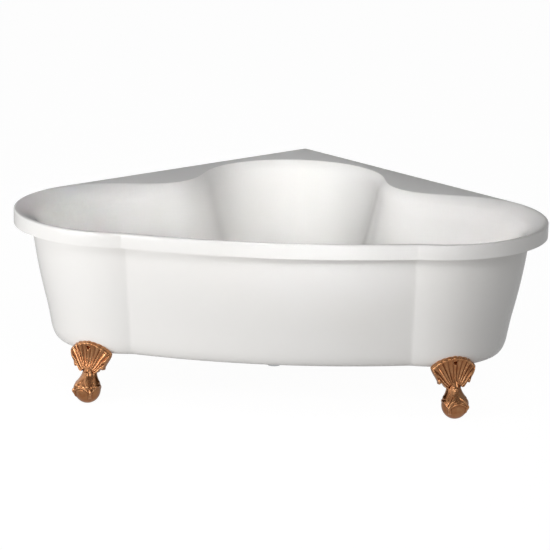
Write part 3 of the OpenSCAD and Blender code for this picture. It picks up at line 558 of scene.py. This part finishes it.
def hexagon(name, across, h0, h1, bevel, bore=0):
    """A hexagon nut or bolt head between two heights, with its corners turned off."""
    corner = across / math.sqrt(3)
    turned_off = [(corner - bevel * 1.7, h0), (corner, h0 + bevel),
                  (corner, h1 - bevel), (corner - bevel * 1.7, h1)]
    if bore:
        rings = [(bore + bevel, h0), *turned_off, (bore + bevel, h1), (bore, h1 - bevel), (bore, h0 + bevel)]
    else:
        rings = [(0, h0), *turned_off, (0, h1)]
    obj = turned(name, rings, Matrix.Identity(4), 48)
    for v in obj.data.vertices:
        reach = math.hypot(v.co.x, v.co.y)
        if reach > across / 2:
            a = math.degrees(math.atan2(v.co.y, v.co.x)) % 60 - 30
            limit = across / 2 / math.cos(math.radians(a))
            v.co.x, v.co.y = v.co.x * min(1, limit / reach), v.co.y * min(1, limit / reach)
    return smoothed(obj, 25)


def thread(radius, h0, h1, pitch, depth):
    """Profile of a threaded shank, drawn as rings because the helix is too fine to see."""
    points, h = [], h0
    while h + pitch < h1:
        points += [(radius, h + 0.15 * pitch), (radius - depth, h + 0.5 * pitch), (radius, h + 0.85 * pitch)]
        h += pitch
    return points


def wood_screw(name, size, length):
    head_h, head_r = 0.002, size
    obj = turned(name, [(0, -head_h), (head_r * 0.55, -head_h), (head_r * 0.85, -head_h * 0.8),
                        (head_r, -head_h * 0.35), (head_r, 0), (size / 2, 0.0001)]
                 + thread(size / 2, 0.001, length - 0.004, 0.0016, 0.0004)
                 + [(size / 2 * 0.8, length - 0.003), (0, length)], Matrix.Identity(4), 24)
    bars = []
    for angle in (0, 90):
        bpy.ops.mesh.primitive_cube_add(size=1)
        bar = bpy.context.object
        bar.data.transform(Matrix.Translation((0, 0, -head_h)) @ Matrix.Rotation(math.radians(angle), 4, "Z")
                           @ Matrix.Diagonal((size * 0.9, size * 0.22, 0.0022, 1)))
        bars.append(bar)
    return cut(obj, *bars)


for fixed, seed in (("skirt_screws", 3), ("cradle_screws", 5)):
    boxes = solid_boxes(fixed)
    length = boxes[0][1][2] - boxes[0][0][2] - 0.002
    spots = [((lo[0] + hi[0]) / 2, (lo[1] + hi[1]) / 2, lo[2] + 0.002) for lo, hi in boxes]
    row = spread("wood_" + fixed, wood_screw("one_screw", 0.004, length), spots, zinc, seed)
    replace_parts(row, fixed)
    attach(row, "tub")

bolt_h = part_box("foot_studs")[1].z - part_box("foot_studs")[0].z
bolt = joined("one_bolt", [
    hexagon("bolt_head", 0.0147, 0, 0.007, 0.0008),
    turned("bolt_shank", [(0, 0.006), (0.005, 0.006)] + thread(0.005, 0.007, bolt_h - 0.001, 0.0015, 0.0004)
           + [(0.0042, bolt_h), (0, bolt_h)], Matrix.Identity(4), 32)])
washer = turned("one_washer", [(0.0051, 0.0003), (0.0054, 0), (0.0097, 0), (0.010, 0.0004), (0.010, 0.0016),
                               (0.0097, 0.002), (0.0054, 0.002), (0.0051, 0.0017)], Matrix.Identity(4), 48)
nut = hexagon("one_nut", 0.0147, 0, 0.008, 0.0008, bore=0.0051)
for fixed, unit, seed in (("foot_studs", bolt, 7), ("foot_washers", washer, 9), ("foot_nuts", nut, 11)):
    spots = [((lo[0] + hi[0]) / 2, (lo[1] + hi[1]) / 2, lo[2]) for lo, hi in solid_boxes(fixed)]
    row = spread("set_of_" + fixed, unit, spots, zinc, seed)
    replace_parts(row, fixed)
    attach(row, "tub")

# Claw feet. Each is one casting of polished copper alloy: a ribbed shell that leans on the skirt,
# a knotted neck, and a ball held by four toes with a web between them. A lug on its back takes
# the stud from the cradle, and a screw goes through the top of the shell.
foot_turn = 22
ball_r, ball_flat_r, ball_out = 0.043, 0.010, 0.015
neck_z, neck_w, neck_in, neck_front, root_z = 0.097, 0.048, foot_in - 0.025, 0.018, 0.082
shell_w, shell_t, shell_ribs, rib_h, seat_gap = 0.150, 0.009, 13, 0.005, 0.0003
shell_top = skirt_z + 0.041
shell_r = shell_top - root_z
shell_a = math.degrees(math.asin(shell_w / 2 / shell_r))
shell_end_a = 60
ball_z = math.sqrt(ball_r ** 2 - ball_flat_r ** 2)
lug_top, lug_h, lug_w, stud_in = skirt_z - 0.001, 0.012, 0.050, 0.066
screw_z = skirt_z + 0.026


def shell_back(r, z):
    return r - skirt_in(max(z, skirt_z + 0.018)) + seat_gap


def shell_front(r, z):
    t = (z - neck_z) / (shell_top - neck_z)
    return ((r - neck_in + neck_front) * (1 - t) + (shell_back(r, shell_top) + shell_t) * t
            - 0.005 * math.sin(math.pi * t))


def shell_point(r, u, v, depth):
    """Point of the shell at u across and v up, from its back (depth 0) to its front (depth 1)."""
    a = math.radians(shell_end_a * u * (1 + 0.07 * abs(u) ** 3 * math.sin(2.6 * math.pi * v)))
    fold = math.cos(math.pi / 2 * shell_ribs * u)
    rib = abs(fold) * (0.75 + 0.25 * math.cos(math.pi * shell_ribs * u / 2.5))
    past = min(1, max(0, (abs(math.degrees(a)) - shell_a) / (shell_end_a - shell_a)))
    past = past * past * (3 - 2 * past)
    arc = shell_r * (1 - 0.05 * min(1, abs(math.degrees(a)) / shell_a) ** 2)
    reach = min(arc, shell_w / 2 / max(1e-6, abs(math.sin(a))) * (1 - 0.30 * past))
    root = neck_w / 2 / math.sin(math.radians(shell_end_a))
    length = root + (reach * (0.98 + 0.02 * rib) - root) * v
    y, z = length * math.sin(a), root_z + length * math.cos(a)
    top_edge = math.sqrt(1 - max(0, (v - 0.90) / 0.10) ** 2)
    side_edge = math.sqrt(1 - max(0, (abs(u) - 0.93) / 0.07) ** 2)
    fade = min(1, (1 - v) / 0.16) * (1 + 0.5 * abs(u))
    relief_h = rib_h * (rib * fade - 0.25) * v ** 0.2 + 0.0022 * math.exp(-((v - 0.93) / 0.05) ** 2)
    x0 = shell_back(r, z)
    x1 = x0 + (shell_front(r, z) + relief_h - x0) * (0.25 + 0.75 * top_edge * side_edge)
    x = x0 + (x1 - x0) * depth
    return math.sqrt(x * x - y * y), y, z


def shell_mesh(name, r):
    us, vs = np.linspace(-1, 1, 157), np.linspace(0, 1, 44)
    front = [[shell_point(r, u, v, 1) for u in us] for v in vs]
    rear = [[shell_point(r, u, v, 0) for u in us] for v in vs]
    n, m = len(us), len(vs)
    points = [p for grid in (front, rear) for row in grid for p in row]
    k = n * m
    faces = []
    for j in range(m - 1):
        for i in range(n - 1):
            a, d = j * n + i, (j + 1) * n + i
            faces += [(a, d, d + 1, a + 1), (k + a, k + a + 1, k + d + 1, k + d)]
        a, b = j * n, j * n + n - 1
        faces += [(a + n, a, k + a, k + a + n), (b, b + n, k + b + n, k + b)]
    for i in range(n - 1):
        t = (m - 1) * n + i
        faces += [(i, i + 1, k + i + 1, k + i), (t + 1, t, k + t, k + t + 1)]
    mesh = bpy.data.meshes.new(name)
    mesh.from_pydata(points, [], faces)
    return smoothed(bpy.data.objects.new(name, mesh))


def claw_mesh(name, x, x_neck):
    """Ball and neck in one skin. Four toes run down it from the neck, with a web between them.
    The ball under them is a little slimmer than the solid's, which has no web."""
    toe_turn, rear_toe_turn, toe_lift, rear_toe_lift, round_n = 42, 140, 0.0075, 0.0025, 180
    cone_z, waist_z, stem_z, neck_r, slim = 0.060, 0.094, 0.118, 0.0215, 0.96
    cone_r = slim * math.sqrt(ball_r ** 2 - (cone_z - ball_z) ** 2)
    rings = []
    for z in np.concatenate([ball_z - ball_z * np.cos(np.radians(np.linspace(0, 90, 26))),
                             np.linspace(ball_z, waist_z, 44)[1:], np.linspace(waist_z, stem_z, 12)[1:]]):
        climb = min(1, max(0, (z - cone_z) / (waist_z - cone_z)))
        if z < cone_z:
            body = slim * math.sqrt(ball_r ** 2 - (z - ball_z) ** 2)
        elif z < waist_z:
            body = cone_r + (neck_r - cone_r) * climb - 0.0035 * math.sin(math.pi * climb) * climb
        else:
            body = neck_r - 0.009 * (z - waist_z) / (stem_z - waist_z)
        fall = min(1, max(0, (0.088 - z) / 0.040))
        ring = []
        for j in range(round_n):
            turn_by = 360 * j / round_n
            b = abs((turn_by + 180) % 360 - 180)
            front = b < 91
            open_by = 0.12 + 0.88 * fall
            toe = open_by * toe_turn if front else 180 - open_by * (180 - rear_toe_turn)
            near = abs(b - toe)
            half_span = toe_turn if b < toe else 49 if front else 40
            s = math.radians(near) * body / (0.0078 - 0.0024 * fall)
            knuckle = 1 + 0.25 * math.cos(math.radians((z - 0.066) * 360 / 0.024))
            tip = min(1, max(0, (z - 0.020) / 0.016))
            lift = 0
            if s < 1 and z < waist_z + 0.004:
                lift = toe_lift if front else rear_toe_lift
                lift *= knuckle * math.sqrt(tip * (1 - s * s)) * (0.5 + 0.5 * fall)
            part = min(1, near / half_span)
            web_z = 0.034 + 0.020 * (1 - (1 - part) ** 2)
            web = (0.0013 / (1 + math.exp((web_z - z) / 0.0006))
                   + 0.0018 * math.exp(-((z - web_z - 0.0025) / 0.0022) ** 2)
                   + 0.0014 * math.exp(-((z - web_z - 0.012) / 0.0028) ** 2))
            reach = body + max(lift, web if z < waist_z else 0.0013)
            a = math.radians(turn_by)
            ring.append((x + (x_neck - x) * climb + reach * math.cos(a), reach * math.sin(a), z))
        rings.append(ring)
    return lofted(name, rings, (x, 0, 0), (x_neck, 0, stem_z + 0.002))


def knot_mesh(name, x, z, r):
    a = np.radians(np.linspace(0, 180, 15)[1:-1])
    return turned(name, [(0, r)] + [(r * math.sin(t), r * math.cos(t)) for t in a] + [(0, -r)],
                  Matrix.Translation((x, 0, z)), 32)


def cast(obj, grain, passes):
    """Melts overlapping shapes into one skin and softens its corners, as a casting's are."""
    melt = obj.modifiers.new("melt", "REMESH")
    melt.mode = "VOXEL"
    melt.voxel_size = grain
    soften = obj.modifiers.new("soften", "SMOOTH")
    soften.iterations = passes
    soften.factor = 0.5
    bpy.context.view_layer.update()
    mesh = bpy.data.meshes.new_from_object(obj.evaluated_get(bpy.context.evaluated_depsgraph_get()))
    obj.modifiers.clear()
    obj.data = mesh
    mesh.polygons.foreach_set("use_smooth", [True] * len(mesh.polygons))
    return obj


def screw_frame(r):
    """Z points out through the shell, square to the skirt."""
    slope = (edge_z - screw_z) / edge_up
    tilt = math.atan(edge_in / edge_up * slope / math.sqrt(1 - slope * slope))
    seat = Matrix.Translation((r - skirt_in(screw_z), 0, screw_z))
    return seat @ Matrix.Rotation(math.pi / 2 + tilt, 4, "Y")


def claw_foot(name, r, place):
    neck_x = r - neck_in
    stud_x = r - foot_in - stud_in
    shell = shell_mesh("shell", r)
    cut(shell, drill("screw_hole", 0.003, -0.012, 0.012, screw_frame(r)),
        drill("head_seat", 0.006, 0.004, 0.044, screw_frame(r)))
    claw = claw_mesh("claw", neck_x + ball_out, neck_x + 0.001)
    knot = knot_mesh("knot", neck_x + 0.0235, neck_z - 0.004, 0.0060)
    corners = [(stud_x - lug_w / 3, -1), (stud_x - lug_w / 3, 1), (neck_x, 1), (neck_x, -1)]
    lug = lofted("lug", [[(cx, cy * w, z) for cx, cy in corners] for w, z in
                         ((lug_w / 2 - 0.001, lug_top - lug_h), (lug_w / 2, lug_top - lug_h + 0.001),
                          (lug_w / 2, lug_top - 0.001), (lug_w / 2 - 0.001, lug_top))],
                 (stud_x, 0, lug_top - lug_h), (stud_x, 0, lug_top))
    rib = lofted("rib", [[(x0, -0.008, z), (x0, 0.008, z),
                          (neck_x + 0.004, 0.012, z), (neck_x + 0.004, -0.012, z)]
                         for x0, z in ((neck_x - 0.012, neck_z - 0.004), (neck_x - 0.034, lug_top - 0.004))],
                 (neck_x, 0, neck_z - 0.004), (neck_x, 0, lug_top - 0.004))
    foot = cast(joined(name, [shell, claw, knot, lug, rib]), 0.0013, 1)
    cut(foot, drill("stud_hole", 0.0055, lug_top - lug_h - 0.001, lug_top + 0.001,
                    Matrix.Translation((stud_x, 0, 0))))
    foot.data.transform(place)
    foot.data.materials.append(copper)
    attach(foot, "tub")
    return foot


# Cast copper alloy, buffed. Painted shade makes it dark brown in the recesses, so the ribs and toes stand out
# bright
copper = new_material("copper_cast_buffed")
where = add_node(copper, "ShaderNodeTexCoord").outputs["Object"]
sharp = add_node(copper, "ShaderNodeNewGeometry").outputs["Pointiness"]
# Pointiness finds the recesses: this mask puts painted shade there
recess_shade_mask = add_node(copper, "ShaderNodeMapRange", inputs={"Value": sharp, "From Min": 0.44, "From Max": 0.56})
cloud = add_node(copper, "ShaderNodeTexNoise", inputs={"Vector": where, "Scale": 60, "Detail": 3})
patina = add_node(copper, "ShaderNodeMix", {"data_type": "RGBA"},
                  {0: cloud.outputs["Fac"], 6: colour("#c67a48"), 7: colour("#f8c490")})
# Painted shade: dark brown in the recesses, the lighter copper tones on the ribs and toes
recess_painted_shade = add_node(copper, "ShaderNodeMix", {"data_type": "RGBA"},
                  {0: recess_shade_mask.outputs[0], 6: colour("#5a1f0a"), 7: patina.outputs[2]})
buff = add_node(copper, "ShaderNodeMapRange", inputs={
    "Value": cloud.outputs["Fac"], "To Min": 0.14, "To Max": 0.26})
dents = add_node(copper, "ShaderNodeBump", inputs={
    "Strength": 0.15, "Distance": 0.001, "Height": cloud.outputs["Fac"]})
finish_surface(copper, {"Base Color": recess_painted_shade.outputs[2], "Metallic": 1.0, "Roughness": buff.outputs[0],
                        "Normal": dents.outputs[0]})
foot_places = {
    which: (lobe_r, Matrix.Translation((way * lobe_x, lobe_y, 0))
            @ Matrix.Rotation(math.radians(way * foot_turn - 90), 4, "Z"))
    for which, way in (("right", 1), ("left", -1))}
foot_places["rear"] = (rear_skirt_r, Matrix.Translation((0, rear_y - rear_skirt_r * math.sqrt(2), 0))
                       @ Matrix.Rotation(math.pi / 2, 4, "Z"))
for which, (r, foot_place) in foot_places.items():
    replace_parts(claw_foot("claw_foot_" + which, r, foot_place), "foot_" + which)

# Shell screws. A domed copper screw with a slot goes through the top of each shell and the skirt,
# into a zinc-plated nut behind it.
def shell_screw(name, r, place):
    """Slotted screw of one foot, with its head against the seat in the shell."""
    seat, size = 0.004, 0.0025
    head = [(0, seat + 0.003), (0.0022, seat + 0.0028), (0.0040, seat + 0.0019), (0.0050, seat + 0.0007),
            (0.0050, seat)]
    obj = turned(name, head + [(size, seat)] + thread(size, -0.010, seat - 0.001, 0.0012, 0.0003)[::-1]
                 + [(0, -0.010)], Matrix.Identity(4), 32)
    bpy.ops.mesh.primitive_cube_add(size=1)
    slot_bar = bpy.context.object
    slot_bar.data.transform(Matrix.Translation((0, 0, seat + 0.003))
                            @ Matrix.Diagonal((0.012, 0.0012, 0.0028, 1)))
    cut(obj, slot_bar)
    obj.data.transform(place @ screw_frame(r))
    return obj


def shell_nut(name, r, place):
    obj = hexagon(name, 0.0078, -0.009, -0.005, 0.0004, bore=0.0026)
    obj.data.transform(place @ screw_frame(r))
    return obj


for fixed, make, metal, slot_name in (("foot_fixing_screws", shell_screw, copper, "copper"),
                                      ("foot_fixing_nuts", shell_nut, zinc, "zinc_steel")):
    row = joined("set_of_" + fixed, [make(which, r, foot_place)
                                     for which, (r, foot_place) in foot_places.items()])
    smoothed(row, 30).data.materials.append(metal)
    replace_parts(row, fixed)
    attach(row, "tub")

# Waste. A chromed brass flange with a hub for the plug's stem sits in the floor over a rubber
# gasket, and the domed pop-up plug closes it with a rubber seal.
chrome = new_material("brass_chrome_plated")
where = add_node(chrome, "ShaderNodeTexCoord").outputs["Object"]
smear = add_node(chrome, "ShaderNodeTexNoise", inputs={"Vector": where, "Scale": 35, "Detail": 3})
plated = add_node(chrome, "ShaderNodeMix", {"data_type": "RGBA"},
                  {0: smear.outputs["Fac"], 6: colour("#c6c9cc"), 7: colour("#d9dbdd")})
wiped = add_node(chrome, "ShaderNodeMapRange", inputs={
    "Value": smear.outputs["Fac"], "To Min": 0.05, "To Max": 0.14})
finish_surface(chrome, {"Base Color": plated.outputs[2], "Metallic": 1.0, "Roughness": wiped.outputs[0]})
rubber = new_material("rubber_moulded_black")
where = add_node(rubber, "ShaderNodeTexCoord").outputs["Object"]
bloom = add_node(rubber, "ShaderNodeTexNoise", inputs={"Vector": where, "Scale": 80, "Detail": 3})
soft_black = add_node(rubber, "ShaderNodeMix", {"data_type": "RGBA"},
                      {0: bloom.outputs["Fac"], 6: colour("#151515"), 7: colour("#262625")})
finish_surface(rubber, {"Base Color": soft_black.outputs[2], "Roughness": 0.62})
throat_r, throat_in, hub_r, stem_r = 0.0245, 0.0215, 0.0073, 0.004
throat_down = 0.016
flange = turned("waste_ring", [
    (throat_in, -throat_down), (throat_r, -throat_down), (throat_r, 0), (0.0347, 0), (0.035, 0.0003),
    (0.0346, 0.0012), (0.0335, 0.0022), (0.0315, 0.0025), (0.0262, 0.0022), (0.0225, 0.0010),
    (throat_in, -0.0005)], drain_frame, 96)
hub = turned("waste_hub", [
    (stem_r + 0.0003, -throat_down), (hub_r, -throat_down), (hub_r, -throat_down + 0.0055),
    (hub_r - 0.0005, -throat_down + 0.006), (stem_r + 0.0003, -throat_down + 0.006)], drain_frame, 48)
arms = []
for angle in (30, 150, 270):
    bpy.ops.mesh.primitive_cube_add(size=1)
    arm = bpy.context.object
    reach = throat_in + 0.001 - hub_r + 0.001
    arm.data.transform(drain_frame @ Matrix.Rotation(math.radians(angle), 4, "Z")
                       @ Matrix.Translation((hub_r - 0.001 + reach / 2, 0, 0.003 - throat_down))
                       @ Matrix.Diagonal((reach, 0.003, 0.006, 1)))
    ease = arm.modifiers.new("ease", "BEVEL")
    ease.width, ease.segments = 0.0006, 2
    bpy.context.view_layer.update()
    arm.data = bpy.data.meshes.new_from_object(arm.evaluated_get(bpy.context.evaluated_depsgraph_get()))
    arm.modifiers.clear()
    arms.append(arm)
flange = smoothed(joined("waste_flange_chromed", [flange, hub, *arms]), 30)
flange.data.materials.append(chrome)
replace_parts(flange, "waste_flange")
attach(flange, "tub")

plug_z, seal_t, plug_r = 0.0028, 0.0025, 0.029
stem_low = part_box("waste_plug")[0].z - floor_z
seal_top = plug_z + seal_t
plug = turned("pop_up_plug", [
    (0, stem_low), (stem_r - 0.0005, stem_low), (stem_r, stem_low + 0.0005), (stem_r, seal_top),
    (plug_r - 0.001, seal_top), (plug_r, seal_top + 0.0006), (plug_r - 0.0004, seal_top + 0.0014),
    (plug_r - 0.0022, seal_top + 0.0024), (plug_r - 0.007, seal_top + 0.0033),
    (plug_r - 0.016, seal_top + 0.0039), (0, seal_top + 0.004)], drain_frame, 96)
plug.data.materials.append(chrome)
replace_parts(plug, "waste_plug")
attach(plug, "plug")
seal = turned("plug_seal_ring", [
    (0.022, plug_z + 0.0003), (0.0223, plug_z), (0.0275, plug_z), (0.028, plug_z + 0.0006),
    (0.0274, plug_z + 0.0019), (0.0262, seal_top), (0.0223, seal_top),
    (0.022, seal_top - 0.0003)], drain_frame, 96)
seal.data.materials.append(rubber)
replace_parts(seal, "plug_seal")
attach(seal, "plug")
for node_name in ("waste_gasket", "overflow_gasket", "lift_cable"):
    dress(node_name, rubber)
dress("tailpiece", chrome)

# Overflow. A chromed brass plate with eight holes and a boss is screwed over the hole in the front
# wall. Its fluted knob turns by a quarter and pulls the cable that lifts the plug.
plate = turned("overflow_plate_chromed", [
    (0.0043, 0), (0.0357, 0), (0.036, 0.0003), (0.0359, 0.0012), (0.0352, 0.0022), (0.0335, 0.0030),
    (0.0135, 0.0030), (0.0122, 0.0034), (0.012, 0.0042), (0.012, 0.0064), (0.0114, 0.007), (0.0043, 0.007)],
    overflow_frame, 96)
cut(plate, *[drill("inlet_hole", 0.003, -0.001, 0.004, overflow_frame
                   @ Matrix.Rotation(math.radians(angle), 4, "Z") @ Matrix.Translation((0.018, 0, 0)))
             for angle in range(0, 360, 45)])
plate.data.materials.append(chrome)
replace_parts(plate, "overflow_plate")
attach(plate, "tub")

knob_z, knob_h, knob_r, axle_r, drum_r = 0.0073, 0.018, 0.026, 0.004, 0.009
face_z = knob_z + knob_h
pipe_in = 0.027
knob = turned("knob_body", [
    (0, knob_z), (knob_r - 0.0008, knob_z), (knob_r, knob_z + 0.0008), (knob_r - 0.0018, face_z - 0.0022),
    (knob_r - 0.0026, face_z - 0.0008), (knob_r - 0.0042, face_z), (0.012, face_z - 0.0004),
    (0.0110, face_z - 0.0012), (0, face_z - 0.0014)], Matrix.Identity(4), 120)
for v in knob.data.vertices:
    reach = math.hypot(v.co.x, v.co.y)
    if reach > 0.018:
        a = math.atan2(v.co.y, v.co.x)
        flute = max(0, math.cos(6 * a)) ** 3
        pull = 1 - 0.16 * flute * (reach - 0.018) / (knob_r - 0.018)
        v.co.x, v.co.y = v.co.x * pull, v.co.y * pull
axle = turned("knob_axle", [
    (0, -pipe_in - 0.003), (drum_r - 0.0005, -pipe_in - 0.003), (drum_r, -pipe_in - 0.0025),
    (drum_r, -pipe_in - 0.0006), (drum_r - 0.002, -pipe_in), (drum_r, -pipe_in + 0.0006),
    (drum_r, -pipe_in + 0.0025),
    (drum_r - 0.0005, -pipe_in + 0.003), (axle_r, -pipe_in + 0.003), (axle_r, knob_z + 0.0006),
    (0, knob_z + 0.0006)], Matrix.Identity(4), 48)
knob = smoothed(joined("overflow_knob_fluted", [knob, axle]), 40)
knob.data.transform(overflow_frame)
knob.data.materials.append(chrome)
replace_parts(knob, "overflow_knob")
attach(knob, "knob")

# Pipework. Moulded black plastic for the elbows, the bend, the waste body and the ribbed slip
# nuts, and a drawn grey plastic pipe between them, all pushed together and held by the nuts.
def moulded(name, dark, light, rough):
    plastic = new_material(name)
    where = add_node(plastic, "ShaderNodeTexCoord").outputs["Object"]
    spark = add_node(plastic, "ShaderNodeTexNoise", inputs={"Vector": where, "Scale": 500, "Detail": 2})
    shade = add_node(plastic, "ShaderNodeMix", {"data_type": "RGBA"},
                     {0: spark.outputs["Fac"], 6: colour(dark), 7: colour(light)})
    fine = add_node(plastic, "ShaderNodeBump", inputs={
        "Strength": 0.15, "Distance": 0.0002, "Height": spark.outputs["Fac"]})
    return finish_surface(plastic, {"Base Color": shade.outputs[2], "Roughness": rough,
                                    "Normal": fine.outputs[0]})


black_plastic = moulded("polypropylene_moulded_black", "#1b1c1d", "#29292a", 0.45)
grey_plastic = moulded("pvc_extruded_grey", "#8f9295", "#a2a5a7", 0.38)
for node_name in ("waste_body", "overflow_elbow", "pipe_bend", "slip_nuts"):
    dress(node_name, black_plastic)
dress("overflow_pipe", grey_plastic)

# Floor and light. A plain pale floor that the camera sees as white, with the tub's faint shadow,
# wide soft lamps low at the front left and above, small ones for the well and the feet, and a
# dim sky that is brighter on the left in what the metal and the acrylic mirror.
bpy.ops.mesh.primitive_plane_add(size=120)
ground = bpy.context.object
ground.name = "studio_floor"
paper = new_material("studio_paper_white")
seen = add_node(paper, "ShaderNodeLightPath")
lit = add_node(paper, "ShaderNodeBsdfDiffuse", inputs={"Color": colour("#d8d8d8")})
glow = add_node(paper, "ShaderNodeEmission", inputs={"Color": (1, 1, 1, 1), "Strength": 1.1})
mirrored = add_node(paper, "ShaderNodeMath", {"operation": "MULTIPLY"}, {
    0: seen.outputs["Is Glossy Ray"], 1: 0.34})
share = add_node(paper, "ShaderNodeMath", {"operation": "MULTIPLY_ADD"}, {
    0: seen.outputs["Is Camera Ray"], 1: 0.88, 2: mirrored.outputs[0]})
paper_mix = add_node(paper, "ShaderNodeMixShader", inputs={
    0: share.outputs[0], 1: lit.outputs[0], 2: glow.outputs[0]})
add_node(paper, "ShaderNodeOutputMaterial", inputs={"Surface": paper_mix.outputs[0]})
ground.data.materials.append(paper)

world = bpy.data.worlds.new("studio")
bpy.context.scene.world = world
world.use_nodes = True
world.node_tree.nodes.clear()
seen = add_node(world, "ShaderNodeLightPath")
facing = add_node(world, "ShaderNodeSeparateXYZ", inputs={
    0: add_node(world, "ShaderNodeTexCoord").outputs["Generated"]})
walls = add_node(world, "ShaderNodeMapRange", {"interpolation_type": "SMOOTHSTEP"}, {
    "Value": facing.outputs["X"], "From Min": -0.8, "From Max": 0.1, "To Min": 1.1, "To Max": 0.30})
dim = add_node(world, "ShaderNodeMix", inputs={
    0: seen.outputs["Is Glossy Ray"], 2: 0.15, 3: walls.outputs[0]})
either = add_node(world, "ShaderNodeMath", {"operation": "MAXIMUM"},
                  {0: seen.outputs["Is Camera Ray"], 1: seen.outputs["Is Transmission Ray"]})
strength = add_node(world, "ShaderNodeMix", inputs={0: either.outputs[0], 2: dim.outputs[0], 3: 1.0})
sky = add_node(world, "ShaderNodeBackground", inputs={
    "Color": (1, 1, 1, 1), "Strength": strength.outputs[0]})
add_node(world, "ShaderNodeOutputWorld", inputs={"Surface": sky.outputs[0]})


def soft_lamp(name, at, aim, wide, high, watts, spread_a=180):
    lamp = bpy.data.objects.new(name, bpy.data.lights.new(name, "AREA"))
    bpy.context.collection.objects.link(lamp)
    lamp.data.shape = "RECTANGLE"
    lamp.data.size, lamp.data.size_y = wide, high
    lamp.data.energy = watts
    lamp.data.spread = math.radians(spread_a)
    lamp.location = at
    lamp.rotation_mode = "QUATERNION"
    lamp.rotation_quaternion = (Vector(aim) - Vector(at)).to_track_quat("-Z", "Y")
    return lamp


soft_lamp("key_lamp", (-3.4, -4.3, 1.2), (0, 0, 0.4), 4.5, 1.4, 104).visible_glossy = False
soft_lamp("fill_lamp", (0.4, -5.8, 4.0), (0, 0, 0.4), 4.0, 2.0, 74)
soft_lamp("strip_lamp", (-3.9, -4.2, 2.2), (0, 0, 0.4), 0.07, 2.8, 12)
soft_lamp("well_lamp", (0.6, -3.3, 1.95), (-0.03, 0.55, 0.46), 0.5, 0.5, 0.95, 17).visible_glossy = False
soft_lamp("lobe_lamp", (3.0, -1.2, 3.0), (-0.70, -0.12, 0.3), 0.4, 0.4, 0.42, 9).visible_glossy = False
soft_lamp("end_lamp", (-3.0, -1.2, 3.0), (0.72, -0.12, 0.3), 0.4, 0.4, 0.35, 10).visible_glossy = False
soft_lamp("side_lamp", (4.6, -2.2, 1.6), (0, 0, 0.4), 1.5, 1.2, 14)
soft_lamp("foot_lamp", (-3.4, -3.4, 0.3), (0, -0.3, 0.1), 3.2, 0.5, 38)
soft_lamp("spark_lamp", (0.2, -5.2, 1.5), (0, 0, 0.3), 0.4, 0.2, 3)
bpy.context.scene.view_settings.view_transform = "Standard"
